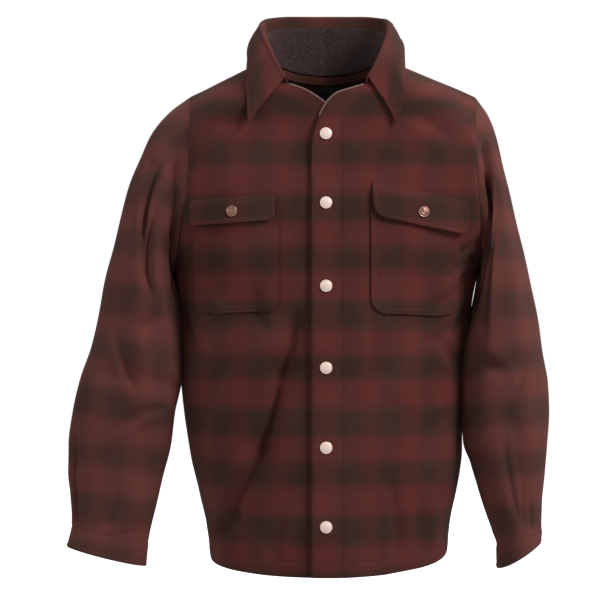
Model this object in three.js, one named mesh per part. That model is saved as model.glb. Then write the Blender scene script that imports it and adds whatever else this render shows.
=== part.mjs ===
import * as THREE from 'three';

// A wool shirt jacket, filled out as if worn, with nobody in it.
// Millimetres. +Z is up, -Y is the front, +X is the viewer's right (the wearer's left).
// The origin lies in the neck opening, level with the shoulders that hold the jacket up.
// In the tables x runs from the middle out to the panel's own side; side -1 or +1 turns it.

// Driving sizes
const clothWall = 2;
const seamGap = 0.3;
const layGap = 0.9;
const rowsBelowArm = 12;
const rowsAboveArm = 11;
const frontColumns = 12;
const backHalfColumns = 10;
const sleeveRows = 21;
const cuffRows = 3;
const ringPoints = 2 * rowsAboveArm;

const underarm = { y: 8, z: -283 };
const armholeMiddle = { y: 6, z: -160 };
const centreAtUnderarmZ = -292;
const neckPoint = { x: 86, y: 0, z: 14 };
const hemFrontZ = -694;
const hemBackZ = -690;
const bodyFullness = 0.86;

const overlapLift = 2.8;
const overlapFullX = 20;
const overlapEndX = 52;

const placketWidth = 40;
const placketWall = 1.6;
const placketTopZ = -70;
const placketAboveHem = 1.2;
const placketFromEdge = 0.8;
const cuffProud = 0.5;
const pocketWall = 1.6;
const pocketGap = 1.7;
const flapWall = 2;
const snapRadius = 8.2;
const snapHeight = 3;
const pocketSnapRadius = 7.8;
const snapTurns = 14;
const snapRimSpots = 12;

// Half widths at the side seams, hem first.
const sides = {
  left: {
    sign: -1,
    hemZ: -680,
    seam: [
      { z: -690, x: 160 },
      { z: -672, x: 162 },
      { z: -638, x: 166 },
      { z: -588, x: 178 },
      { z: -538, x: 189 },
      { z: -487, x: 197 },
      { z: -433, x: 203 },
      { z: -351, x: 204 },
      { z: -312, x: 207 },
      { z: -283, x: 213 },
    ],
    armhole: [
      { at: 0, x: 213, yFront: 8, yBack: 8, z: -283 },
      { at: 0.17, x: 206, yFront: -44, yBack: 58, z: -263 },
      { at: 0.34, x: 197, yFront: -74, yBack: 88, z: -222 },
      { at: 0.5, x: 190, yFront: -86, yBack: 100, z: -176 },
      { at: 0.66, x: 187, yFront: -81, yBack: 96, z: -126 },
      { at: 0.8, x: 187, yFront: -61, yBack: 76, z: -84 },
      { at: 0.9, x: 188, yFront: -36, yBack: 46, z: -56 },
      { at: 1, x: 190, yFront: 0, yBack: 0, z: -38 },
    ],
  },
  right: {
    sign: 1,
    hemZ: -667,
    seam: [
      { z: -690, x: 168 },
      { z: -655, x: 171 },
      { z: -622, x: 175 },
      { z: -588, x: 182 },
      { z: -554, x: 188 },
      { z: -530, x: 191 },
      { z: -487, x: 192 },
      { z: -440, x: 193 },
      { z: -400, x: 195 },
      { z: -358, x: 200 },
      { z: -312, x: 207 },
      { z: -283, x: 213 },
    ],
    armhole: [
      { at: 0, x: 213, yFront: 8, yBack: 8, z: -283 },
      { at: 0.17, x: 213, yFront: -44, yBack: 58, z: -263 },
      { at: 0.34, x: 211, yFront: -73, yBack: 88, z: -222 },
      { at: 0.5, x: 208, yFront: -84, yBack: 100, z: -176 },
      { at: 0.66, x: 206, yFront: -79, yBack: 96, z: -126 },
      { at: 0.8, x: 206, yFront: -60, yBack: 76, z: -84 },
      { at: 0.9, x: 207, yFront: -35, yBack: 46, z: -56 },
      { at: 1, x: 209, yFront: 0, yBack: 0, z: -38 },
    ],
  },
};

// How far the middle of the front and of the back stand out, by height.
const frontDepths = [
  { z: -694, depth: 141 },
  { z: -550, depth: 135 },
  { z: -450, depth: 131 },
  { z: -350, depth: 128 },
  { z: -250, depth: 126 },
  { z: -175, depth: 120 },
];
const backDepths = [
  { z: -690, depth: 149 },
  { z: -550, depth: 144 },
  { z: -420, depth: 138 },
  { z: -292, depth: 137 },
];

// The inner edge of each front, from underarm height up the opening and round the neck.
const lappingEdge = [
  { at: 0, x: -21, y: -126, z: -292 },
  { at: 0.2, x: -21, y: -122, z: -212 },
  { at: 0.4, x: -21, y: -113, z: -138 },
  { at: 0.48, x: -20, y: -108, z: -108 },
  { at: 0.54, x: -14, y: -105, z: -84 },
  { at: 0.6, x: -3, y: -102, z: -59 },
  { at: 0.67, x: 13, y: -99, z: -42 },
  { at: 0.74, x: 35, y: -97, z: -34 },
  { at: 0.8, x: 53, y: -93, z: -27 },
  { at: 0.87, x: 71, y: -73, z: -10 },
  { at: 0.94, x: 83, y: -38, z: 6 },
  { at: 1, x: 86, y: 0, z: 14 },
];
const underEdge = [
  { at: 0, x: -16, y: -126, z: -292 },
  { at: 0.2, x: -16, y: -122, z: -212 },
  { at: 0.4, x: -16, y: -113, z: -138 },
  { at: 0.5, x: -16, y: -106, z: -98 },
  { at: 0.57, x: -13, y: -101, z: -66 },
  { at: 0.63, x: 2, y: -100, z: -54 },
  { at: 0.69, x: 19, y: -99, z: -42 },
  { at: 0.745, x: 36, y: -97, z: -33 },
  { at: 0.8, x: 53, y: -93, z: -27 },
  { at: 0.87, x: 71, y: -73, z: -10 },
  { at: 0.94, x: 83, y: -38, z: 6 },
  { at: 1, x: 86, y: 0, z: 14 },
];
const collarStartsAt = 0.8;

// The middle of the back above underarm height, and half of the back neck.
const backMiddle = [
  { at: 0, y: 137, z: -292 },
  { at: 0.3, y: 136, z: -200 },
  { at: 0.55, y: 129, z: -125 },
  { at: 0.8, y: 104, z: -54 },
  { at: 1, y: 64, z: -14 },
];
const backNeck = [
  { at: 0, x: 0, y: 64, z: -14 },
  { at: 0.35, x: 33, y: 58, z: -11 },
  { at: 0.65, x: 62, y: 43, z: -3 },
  { at: 0.85, x: 79, y: 22, z: 6 },
  { at: 1, x: 86, y: 0, z: 14 },
];
const backNeckShare = 0.45;

// Over what share of a panel, or part of a sleeve section, folds die out.
const foldsFadeOver = { side: 0.12, top: 0.3, armhole: 0.7, cuff: 0.8 };

// Largest folds of the panels: a soft trough (negative depth) or ridge from one point to another.
const frontFolds = [
  { side: -1, x0: 41, z0: -352, x1: 62, z1: -418, width: 15, depth: -6 },
  { side: -1, x0: 62, z0: -418, x1: 90, z1: -522, width: 17, depth: -9 },
  { side: -1, x0: 90, z0: -522, x1: 128, z1: -612, width: 18, depth: -9 },
  { side: -1, x0: 84, z0: -384, x1: 122, z1: -545, width: 24, depth: 5 },
  { side: 1, x0: 92, z0: -470, x1: 104, z1: -690, width: 24, depth: -5 },
  { side: 1, x0: 150, z0: -330, x1: 128, z1: -450, width: 20, depth: -4 },
];
const backFolds = [
  { side: -1, x0: 118, z0: -250, x1: 96, z1: -640, width: 26, depth: -7 },
  { side: 1, x0: 112, z0: -230, x1: 88, z1: -560, width: 26, depth: -6 },
  { side: 1, x0: 20, z0: -460, x1: 6, z1: -690, width: 30, depth: 6 },
];

// Sleeve sections from the armhole down: outer and inner edge of the arm seen from the front,
// the middle's y, and the half depth front to back.
const sleeves = {
  left: [
    { at: 0, outX: 190, outZ: -38, inX: 213, inZ: -283, y: 7, depth: 93 },
    { at: 1, outX: 219, outZ: -60, inX: 217, inZ: -295, y: 4, depth: 86 },
    { at: 2, outX: 245, outZ: -92, inX: 215, inZ: -310, y: -2, depth: 80 },
    { at: 3, outX: 260, outZ: -126, inX: 212, inZ: -324, y: -9, depth: 76 },
    { at: 4, outX: 273, outZ: -160, inX: 210, inZ: -338, y: -15, depth: 72 },
    { at: 5, outX: 284, outZ: -202, inX: 208, inZ: -355, y: -20, depth: 68 },
    { at: 6, outX: 295, outZ: -248, inX: 206, inZ: -377, y: -24, depth: 65 },
    { at: 7, outX: 307, outZ: -294, inX: 204, inZ: -401, y: -27, depth: 62 },
    { at: 8, outX: 315, outZ: -339, inX: 203, inZ: -427, y: -29, depth: 59 },
    { at: 9, outX: 326, outZ: -386, inX: 205, inZ: -452, y: -30, depth: 55 },
    { at: 10, outX: 340, outZ: -428, inX: 208, inZ: -475, y: -32, depth: 51 },
    { at: 11, outX: 351, outZ: -476, inX: 211, inZ: -498, y: -34, depth: 47 },
    { at: 12, outX: 357, outZ: -521, inX: 215, inZ: -527, y: -37, depth: 43 },
    { at: 13, outX: 357, outZ: -557, inX: 224, inZ: -563, y: -40, depth: 40 },
    { at: 14, outX: 353, outZ: -591, inX: 234, inZ: -605, y: -43, depth: 37 },
    { at: 15, outX: 351, outZ: -618, inX: 242, inZ: -638, y: -46, depth: 35 },
    { at: 16, outX: 351, outZ: -634, inX: 245, inZ: -657, y: -48, depth: 34 },
    { at: 17, outX: 357, outZ: -660, inX: 248, inZ: -687, y: -56, depth: 33 },
  ],
  right: [
    { at: 0, outX: 209, outZ: -38, inX: 213, inZ: -283, y: 7, depth: 92 },
    { at: 1, outX: 228, outZ: -66, inX: 216, inZ: -298, y: 4, depth: 86 },
    { at: 2, outX: 239, outZ: -98, inX: 213, inZ: -316, y: -3, depth: 81 },
    { at: 3, outX: 247, outZ: -137, inX: 207, inZ: -335, y: -11, depth: 77 },
    { at: 4, outX: 256, outZ: -176, inX: 202, inZ: -356, y: -18, depth: 73 },
    { at: 5, outX: 266, outZ: -221, inX: 198, inZ: -376, y: -24, depth: 69 },
    { at: 6, outX: 276, outZ: -263, inX: 194, inZ: -397, y: -28, depth: 66 },
    { at: 7, outX: 286, outZ: -311, inX: 192, inZ: -419, y: -31, depth: 63 },
    { at: 8, outX: 294, outZ: -353, inX: 190, inZ: -442, y: -33, depth: 61 },
    { at: 9, outX: 300, outZ: -395, inX: 190, inZ: -466, y: -34, depth: 59 },
    { at: 10, outX: 307, outZ: -437, inX: 190, inZ: -490, y: -35, depth: 57 },
    { at: 11, outX: 309, outZ: -476, inX: 193, inZ: -517, y: -37, depth: 56 },
    { at: 12, outX: 306, outZ: -518, inX: 199, inZ: -545, y: -39, depth: 55 },
    { at: 13, outX: 302, outZ: -560, inX: 209, inZ: -579, y: -41, depth: 54 },
    { at: 14, outX: 297, outZ: -602, inX: 221, inZ: -617, y: -43, depth: 54 },
    { at: 15, outX: 297, outZ: -624, inX: 229, inZ: -642, y: -45, depth: 53 },
    { at: 16, outX: 297, outZ: -637, inX: 235, inZ: -661, y: -47, depth: 53 },
    { at: 17, outX: 295, outZ: -653, inX: 235, inZ: -690, y: -53, depth: 53 },
  ],
};
const cuffStartsAt = 16;
const cuffEndsAt = 17;
const armholeFadesAt = 3.4;

// Sleeve folds: from and to, as section number and degrees round (0 outside, 90 in front).
const sleeveStep = 34;
const sleeveDegree = 1.25;
const sleeveFolds = {
  left: [
    { at0: 0.9, deg0: 62, at1: 1.1, deg1: 150, width: 13, depth: -9 },
    { at0: 2.2, deg0: 48, at1: 5.2, deg1: 88, width: 15, depth: -7 },
    { at0: 8, deg0: 96, at1: 10.5, deg1: 112, width: 16, depth: 5 },
    { at0: 8.6, deg0: 150, at1: 9.6, deg1: 60, width: 15, depth: -5 },
    { at0: 11.8, deg0: 28, at1: 15.2, deg1: 24, width: 14, depth: -6 },
    { at0: 9.5, deg0: 262, at1: 10.6, deg1: 200, width: 16, depth: -6 },
    { at0: 3, deg0: 290, at1: 6, deg1: 265, width: 17, depth: -6 },
  ],
  right: [
    { at0: 0.8, deg0: 48, at1: 2.8, deg1: 150, width: 14, depth: -11 },
    { at0: 7.4, deg0: 150, at1: 8.8, deg1: 70, width: 16, depth: -5 },
    { at0: 10.6, deg0: 90, at1: 14.6, deg1: 74, width: 15, depth: -5 },
    { at0: 9.2, deg0: 262, at1: 10.6, deg1: 200, width: 16, depth: -6 },
    { at0: 3, deg0: 290, at1: 6, deg1: 265, width: 17, depth: -6 },
  ],
};

// Half of the collar, front end first: the fold, the free edge, the radius of the fold, how far
// the leaf bows out, and how much nearer the middle its edge lies on the viewer's right.
const collarHalf = [
  { at: 0, foldX: 54, foldY: -97, foldZ: -21, edgeX: 106, edgeY: -109, edgeZ: -85, roll: 2.6, bow: 2.5, tuck: 11 },
  { at: 0.12, foldX: 63, foldY: -84, foldZ: -4, edgeX: 108, edgeY: -103, edgeZ: -61, roll: 3, bow: 3, tuck: 7 },
  { at: 0.26, foldX: 73, foldY: -62, foldZ: 18, edgeX: 109, edgeY: -91, edgeZ: -33, roll: 4, bow: 4.5, tuck: 3 },
  { at: 0.42, foldX: 82, foldY: -33, foldZ: 42, edgeX: 110, edgeY: -52, edgeZ: -3, roll: 4.6, bow: 6, tuck: 1 },
  { at: 0.6, foldX: 85, foldY: 4, foldZ: 61, edgeX: 109, edgeY: 4, edgeZ: 9, roll: 5, bow: 7, tuck: 0 },
  { at: 0.72, foldX: 77, foldY: 38, foldZ: 72, edgeX: 103, edgeY: 48, edgeZ: 5, roll: 5, bow: 5, tuck: 0 },
  { at: 0.86, foldX: 47, foldY: 67, foldZ: 78, edgeX: 72, edgeY: 92, edgeZ: -3, roll: 5, bow: 3, tuck: 0 },
  { at: 1, foldX: 0, foldY: 79, foldZ: 80, edgeX: 0, edgeY: 111, edgeZ: -8, roll: 5, bow: 2.5, tuck: 0 },
];
const collarHalfColumns = 15;
const standSteps = 5;
const rollSteps = 5;
const fallSteps = 5;
const collarRise = 1;
const liningWall = 1.2;
const liningGap = 1.1;
const liningFromSeam = 11;
const liningBelowFold = 13;
const liningStartsAt = 0.13;
const liningMostShare = { low: 0.25, high: 0.3 };

const frontSnaps = [-97, -191, -303, -413, -520, -626];

const pockets = {
  left: { sign: -1, x: 122, top: -203, height: 136, width: 114, corner: 16, tilt: 0.03 },
  right: { sign: 1, x: 120, top: -200, height: 142, width: 120, corner: 22, tilt: 0.03 },
};
const flaps = {
  left: { sign: -1, x: 127, z: -183, height: 35, width: 115, corner: 11, tilt: 0.05, snapX: 128, snapZ: -202 },
  right: { sign: 1, x: 126, z: -175, height: 46, width: 128, corner: 17, tilt: 0.19, snapX: 131, snapZ: -203 },
};

const label = { x: 7, top: -18, width: 30, height: 20, corner: 0.5, tilt: 0, wall: 0.8 };

// One snap closes each cuff, behind the wrist.
const cuffSnaps = { left: { x: 322, z: -655 }, right: { x: 281, z: -652 } };

// Finishes
const plaid = new THREE.MeshStandardMaterial({ color: 0x5a2420, roughness: 0.92, metalness: 0 });
const darkPile = new THREE.MeshStandardMaterial({ color: 0x2b2424, roughness: 0.98, metalness: 0 });
const paleSnap = new THREE.MeshStandardMaterial({ color: 0xe6c8bd, roughness: 0.3, metalness: 0.35 });
const copperSnap = new THREE.MeshStandardMaterial({ color: 0x8f6a60, roughness: 0.35, metalness: 0.85 });
const labelCloth = new THREE.MeshStandardMaterial({ color: 0x151313, roughness: 0.7, metalness: 0 });

const group = new THREE.Group();

function vec(x, y, z) {
  return new THREE.Vector3(x, y, z);
}

function mix(a, b, t) {
  return a + (b - a) * t;
}

function smooth(from, to, value) {
  const t = Math.min(1, Math.max(0, (value - from) / (to - from)));
  return t * t * (3 - 2 * t);
}

// Reads a table between its rows, without overshoot.
function reader(rows, key) {
  const at = rows.map((row) => row[key]);
  const last = at.length - 1;
  function slope(name, i) {
    const step = (j) => (rows[j + 1][name] - rows[j][name]) / (at[j + 1] - at[j]);
    if (i === 0) return step(0);
    if (i === last) return step(last - 1);
    const before = step(i - 1);
    const after = step(i);
    return before * after <= 0 ? 0 : (2 * before * after) / (before + after);
  }
  return (value, name) => {
    const v = Math.min(at[last], Math.max(at[0], value));
    let i = 0;
    while (i < last - 1 && v > at[i + 1]) i += 1;
    const span = at[i + 1] - at[i];
    const t = (v - at[i]) / span;
    const bend = t * t * (3 - 2 * t);
    const start = t * (1 - t) * (1 - t) * span * slope(name, i);
    const end = t * t * (t - 1) * span * slope(name, i + 1);
    return mix(rows[i][name], rows[i + 1][name], bend) + start + end;
  };
}

function pointReader(rows) {
  const read = reader(rows, 'at');
  return (at) => vec(read(at, 'x'), read(at, 'y'), read(at, 'z'));
}

// Depth of a fold at a point, both in millimetres on the cloth.
function foldDepth(fold, p, q, p0, q0, p1, q1) {
  const along = vec(p1 - p0, q1 - q0, 0);
  const away = vec(p - p0, q - q0, 0);
  const t = Math.min(1, Math.max(0, away.dot(along) / along.lengthSq()));
  const distance = away.sub(along.multiplyScalar(t)).length();
  return fold.depth * Math.exp(-((distance / fold.width) ** 2));
}

// Body panels
const frontDepth = reader(frontDepths, 'z');
const backDepth = reader(backDepths, 'z');
const readBackMiddle = reader(backMiddle, 'at');
const backNeckPoint = pointReader(backNeck);

for (const side of Object.values(sides)) {
  side.readSeam = reader(side.seam, 'z');
  side.readArmhole = reader(side.armhole, 'at');
}

function sideSeamPoint(side, level) {
  const z = mix(side.hemZ, underarm.z, level);
  return vec(side.readSeam(z, 'x'), underarm.y, z);
}

function armholePoint(side, at, back) {
  const read = side.readArmhole;
  return vec(read(at, 'x'), read(at, back ? 'yBack' : 'yFront'), read(at, 'z'));
}

// A level of the body from its inner to its outer end, round the same arch at every height:
// flat across the middle and turning back towards the side. The arch begins at angle `start`.
function archBetween(inner, outer, start, u) {
  const angle = mix(start, Math.PI / 2, u);
  const across = (Math.sin(angle) - Math.sin(start)) / (1 - Math.sin(start));
  const fall = (a) => Math.max(0, Math.cos(a)) ** bodyFullness;
  const turn = 1 - fall(angle) / fall(start);
  const rise = (angle * angle - start * start) / ((Math.PI / 2) ** 2 - start * start);
  return vec(
    mix(inner.x, outer.x, across),
    mix(inner.y, outer.y, turn),
    mix(inner.z, outer.z, rise),
  );
}

function lowMiddle(side, level, back, edgeX) {
  const outer = sideSeamPoint(side, level);
  const z = mix(back ? hemBackZ : hemFrontZ, centreAtUnderarmZ, level);
  const depth = back ? backDepth(z, 'depth') : -frontDepth(z, 'depth');
  const start = Math.asin(edgeX / outer.x);
  const y = mix(outer.y, depth, Math.cos(start) ** bodyFullness);
  return { inner: vec(edgeX, y, z), outer, start };
}

// Above the underarm the arch is bent towards the shoulder seam and neck as it nears them.
function towardsTop(level, topPoint, inner, outer, start, u) {
  const shape = archBetween(inner, outer, start, u);
  const plainTop = archBetween(topPoint(0), topPoint(1), start, u);
  return shape.addScaledVector(topPoint(u).sub(plainTop), level * level);
}

function frontBase(side, edgeRows, u, v) {
  const edgeX = edgeRows[0].x;
  if (v <= 1) {
    const { inner, outer, start } = lowMiddle(side, v, false, edgeX);
    return archBetween(inner, outer, start, u);
  }
  const w = v - 1;
  const low = lowMiddle(side, 1, false, edgeX);
  const readEdge = pointReader(edgeRows);
  const shift = low.inner.sub(readEdge(0));
  const inner = readEdge(w).addScaledVector(shift, (1 - w) ** 2);
  const shoulder = armholePoint(side, 1, false);
  const top = (s) => vec(neckPoint.x, neckPoint.y, neckPoint.z).lerp(shoulder, s);
  return towardsTop(w, top, inner, armholePoint(side, w, false), low.start, u);
}

function backBase(side, u, v) {
  if (v <= 1) {
    const { inner, outer, start } = lowMiddle(side, v, true, 0);
    return archBetween(inner, outer, start, u);
  }
  const w = v - 1;
  const inner = vec(0, readBackMiddle(w, 'y'), readBackMiddle(w, 'z'));
  const shoulder = armholePoint(side, 1, true);
  const neckSide = backNeckPoint(1);
  const top = (s) => (s < backNeckShare
    ? backNeckPoint(s / backNeckShare)
    : neckSide.clone().lerp(shoulder, (s - backNeckShare) / (1 - backNeckShare)));
  return towardsTop(w, top, inner, armholePoint(side, w, true), 0, u);
}

// Grids: rows of points, row 0 lowest, each row running so that (along row) x (up) points out.
function gridNormals(points, wrap) {
  const rows = points.length;
  const columns = points[0].length;
  return points.map((row, i) => row.map((_, j) => {
    const left = wrap ? (j + columns - 1) % columns : Math.max(0, j - 1);
    const right = wrap ? (j + 1) % columns : Math.min(columns - 1, j + 1);
    const across = row[right].clone().sub(row[left]);
    const up = points[Math.min(rows - 1, i + 1)][j].clone().sub(points[Math.max(0, i - 1)][j]);
    return across.cross(up).normalize();
  }));
}

function moved(points, normals, distance) {
  return points.map((row, i) => row.map((point, j) => {
    const by = typeof distance === 'function' ? distance(point, i, j) : distance;
    return point.clone().addScaledVector(normals[i][j], by);
  }));
}

// Closes an outer and an inner grid into one wall.
function wallGeometry(outer, inner, wrap) {
  const rows = outer.length;
  const columns = outer[0].length;
  const positions = [...outer.flat(), ...inner.flat()].flatMap((p) => [p.x, p.y, p.z]);
  const outerAt = (i, j) => i * columns + (j % columns);
  const innerAt = (i, j) => rows * columns + outerAt(i, j);
  const index = [];
  const quad = (a, b, c, d) => index.push(a, b, c, a, c, d);
  const lastColumn = wrap ? columns : columns - 1;
  for (let i = 0; i < rows - 1; i += 1) {
    for (let j = 0; j < lastColumn; j += 1) {
      quad(outerAt(i, j), outerAt(i, j + 1), outerAt(i + 1, j + 1), outerAt(i + 1, j));
      quad(innerAt(i, j), innerAt(i + 1, j), innerAt(i + 1, j + 1), innerAt(i, j + 1));
    }
    if (!wrap) {
      const end = columns - 1;
      quad(outerAt(i, 0), outerAt(i + 1, 0), innerAt(i + 1, 0), innerAt(i, 0));
      quad(outerAt(i, end), innerAt(i, end), innerAt(i + 1, end), outerAt(i + 1, end));
    }
  }
  for (let j = 0; j < lastColumn; j += 1) {
    const top = rows - 1;
    quad(outerAt(0, j), innerAt(0, j), innerAt(0, j + 1), outerAt(0, j + 1));
    quad(outerAt(top, j), outerAt(top, j + 1), innerAt(top, j + 1), innerAt(top, j));
  }
  const geometry = new THREE.BufferGeometry();
  geometry.setAttribute('position', new THREE.Float32BufferAttribute(positions, 3));
  geometry.setIndex(index);
  geometry.computeVertexNormals();
  return geometry;
}

function addMesh(name, geometry, material) {
  const mesh = new THREE.Mesh(geometry, material);
  mesh.name = name;
  group.add(mesh);
}

// A panel's wall. keepOff(i, j) lists, at a seam, the directions into the panel that its edge
// must stay on, half a seam gap off the joint.
function panelWall(points, wrap, thickness, keepOff) {
  const normals = gridNormals(points, wrap);
  const outer = points.map((row) => row.map((point) => point.clone()));
  const inner = moved(points, normals, -thickness);
  points.forEach((row, i) => row.forEach((point, j) => {
    for (const direction of keepOff(i, j)) {
      for (const grid of [outer, inner]) {
        const off = grid[i][j].clone().sub(point).dot(direction);
        const push = Math.max(0, seamGap / 2 - off);
        grid[i][j].addScaledVector(direction, push);
      }
    }
  }));
  return { geometry: wallGeometry(outer, inner, wrap), outer, inner, normals };
}

const rowLevels = [];
for (let i = 0; i <= rowsBelowArm; i += 1) rowLevels.push(i / rowsBelowArm);
for (let i = 1; i <= rowsAboveArm; i += 1) rowLevels.push(1 + i / rowsAboveArm);
const lastRow = rowLevels.length - 1;

// The joint of body and sleeve lies across the armhole: the direction from it into the body.
function armholeInward(side, step, back) {
  const here = armholePoint(side, step / rowsAboveArm, back);
  const below = armholePoint(side, Math.max(0, step - 1) / rowsAboveArm, back);
  const above = armholePoint(side, Math.min(rowsAboveArm, step + 1) / rowsAboveArm, back);
  const middle = vec(here.x, (back ? 1 : -1) * armholeMiddle.y, armholeMiddle.z);
  const outward = here.clone().sub(middle).setX(0).normalize();
  if (step === 0) return vec(-1, 0, 0);
  const along = step === rowsAboveArm ? vec(0, 1, 0) : above.sub(below);
  const inward = along.cross(outward).normalize();
  return inward.x > 0 ? inward.negate() : inward;
}

function turned(vector, side) {
  return vec(vector.x * side.sign, vector.y, vector.z);
}

function seamKeepOff(side, back, isOuter) {
  const forward = vec(0, back ? 1 : -1, 0);
  return (i, j) => {
    const list = [];
    if (i === lastRow) list.push(forward);
    if (isOuter(j)) {
      if (i <= rowsBelowArm) list.push(forward);
      if (i >= rowsBelowArm) list.push(turned(armholeInward(side, i - rowsBelowArm, back), side));
    }
    return list;
  };
}

// Folds die out towards seams and the neck.
function calmEdges(u, v) {
  return smooth(0, foldsFadeOver.side, 1 - Math.abs(u)) * smooth(0, foldsFadeOver.top, 2 - v);
}

function frontPanel(side, edgeRows, lift) {
  const flip = side.sign > 0;
  const points = rowLevels.map((v) => {
    const row = [];
    for (let j = 0; j <= frontColumns; j += 1) {
      const u = j / frontColumns;
      row.push(frontBase(side, edgeRows, u, v));
    }
    return row;
  });
  const outward = gridNormals(points, false);
  const folded = moved(points, outward, (p, i, j) => {
    const calm = calmEdges(j / frontColumns, rowLevels[i]);
    const folds = frontFolds.filter((fold) => fold.side === side.sign);
    const depths = folds.map((f) => foldDepth(f, p.x, p.z, f.x0, f.z0, f.x1, f.z1));
    const overlap = lift * (1 - smooth(overlapFullX, overlapEndX, p.x));
    return calm * depths.reduce((sum, depth) => sum + depth, 0) + overlap;
  });
  const placed = folded.map((row) => row.map((point) => turned(point, side)));
  const ordered = flip ? placed : placed.map((row) => row.reverse());
  const outerColumn = flip ? frontColumns : 0;
  const wall = panelWall(ordered, false, clothWall, seamKeepOff(side, false, (j) => j === outerColumn));
  return wall;
}

function backPanel() {
  const columns = 2 * backHalfColumns;
  const sideOf = (j) => (j <= backHalfColumns ? sides.right : sides.left);
  const points = rowLevels.map((v) => {
    const row = [];
    for (let j = 0; j <= columns; j += 1) {
      const u = Math.abs(j - backHalfColumns) / backHalfColumns;
      row.push(turned(backBase(sideOf(j), u, v), sideOf(j)));
    }
    return row;
  });
  const outward = gridNormals(points, false);
  const folded = moved(points, outward, (p, i, j) => {
    const calm = calmEdges((j - backHalfColumns) / backHalfColumns, rowLevels[i]);
    const depths = backFolds.map((f) => (
      foldDepth(f, p.x * f.side, p.z, f.x0, f.z0, f.x1, f.z1)));
    return calm * depths.reduce((sum, depth) => sum + depth, 0);
  });
  const keepOff = (i, j) => {
    const neck = Math.abs(j - backHalfColumns) / backHalfColumns < backNeckShare;
    const isOuter = (column) => column === 0 || column === columns;
    const list = seamKeepOff(sideOf(j), true, isOuter)(i, j);
    return i === lastRow && neck ? [] : list;
  };
  return panelWall(folded, false, clothWall, keepOff);
}

const leftFront = frontPanel(sides.left, underEdge, 0);
const rightFront = frontPanel(sides.right, lappingEdge, overlapLift);
const back = backPanel();
addMesh('front_left', leftFront.geometry, plaid);
addMesh('front_right', rightFront.geometry, plaid);
addMesh('back', back.geometry, plaid);

// Sleeves and cuffs
function sleevePoint(side, table, folds, at, step) {
  const turn = (step / ringPoints) * Math.PI * 2;
  const ellipse = (level) => {
    const read = (name) => table(level, name);
    const out = vec(read('outX'), read('y'), read('outZ'));
    const inn = vec(read('inX'), read('y'), read('inZ'));
    const middle = out.clone().lerp(inn, 0.5);
    const reach = out.sub(middle);
    const sideways = vec(0, -read('depth') * Math.sin(turn), 0);
    return middle.add(reach.multiplyScalar(Math.cos(turn))).add(sideways);
  };
  const backHalf = step > rowsAboveArm;
  const armStep = backHalf ? step - rowsAboveArm : rowsAboveArm - step;
  const armhole = armholePoint(side, armStep / rowsAboveArm, backHalf);
  const fade = 1 - smooth(0, armholeFadesAt, at);
  const point = ellipse(at).add(armhole.sub(ellipse(0)).multiplyScalar(fade));
  const degrees = (step / ringPoints) * 360;
  const calm = smooth(0, foldsFadeOver.armhole, at) * smooth(0, foldsFadeOver.cuff, cuffStartsAt - at);
  const depth = folds.reduce((sum, f) => sum + foldDepth(
    f, at * sleeveStep, degrees * sleeveDegree,
    f.at0 * sleeveStep, f.deg0 * sleeveDegree, f.at1 * sleeveStep, f.deg1 * sleeveDegree,
  ), 0);
  return { point, depth: calm * depth };
}

function sleeveGrid(name, fromAt, toAt, rows) {
  const side = sides[name];
  const table = reader(sleeves[name], 'at');
  const points = [];
  const depths = [];
  for (let i = 0; i <= rows; i += 1) {
    const at = mix(toAt, fromAt, i / rows);
    const ring = [];
    const ringDepths = [];
    for (let k = 0; k < ringPoints; k += 1) {
      const step = side.sign > 0 ? (ringPoints - k) % ringPoints : k;
      const { point, depth } = sleevePoint(side, table, sleeveFolds[name], at, step);
      ring.push(turned(point, side));
      ringDepths.push(depth);
    }
    points.push(ring);
    depths.push(ringDepths);
  }
  return moved(points, gridNormals(points, true), (p, i, j) => depths[i][j]);
}

function sleeve(name) {
  const side = sides[name];
  const points = sleeveGrid(name, 0, cuffStartsAt, sleeveRows);
  const keepOff = (i, k) => {
    if (i < sleeveRows) return i === 0 ? [vec(0, 0, 1)] : [];
    const step = side.sign > 0 ? (ringPoints - k) % ringPoints : k;
    const backHalf = step > rowsAboveArm;
    const armStep = backHalf ? step - rowsAboveArm : rowsAboveArm - step;
    return [turned(armholeInward(side, armStep, backHalf), side).negate()];
  };
  return panelWall(points, true, clothWall, keepOff);
}

function cuff(name) {
  const points = sleeveGrid(name, cuffStartsAt, cuffEndsAt, cuffRows);
  const proud = moved(points, gridNormals(points, true), cuffProud);
  return panelWall(proud, true, clothWall + cuffProud, (i) => (i === cuffRows ? [vec(0, 0, -1)] : []));
}

const cuffs = {};
for (const name of ['left', 'right']) {
  addMesh(`sleeve_${name}`, sleeve(name).geometry, plaid);
  cuffs[name] = cuff(name);
  addMesh(`cuff_${name}`, cuffs[name].geometry, plaid);
}

// Collar
const readCollar = reader(collarHalf, 'at');
const frontNeckPoint = pointReader(lappingEdge);
const neckPointAt = 0.6;

function collarSeam(at) {
  if (at < neckPointAt) return frontNeckPoint(mix(collarStartsAt, 1, at / neckPointAt));
  return backNeckPoint(1 - (at - neckPointAt) / (1 - neckPointAt));
}

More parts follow.
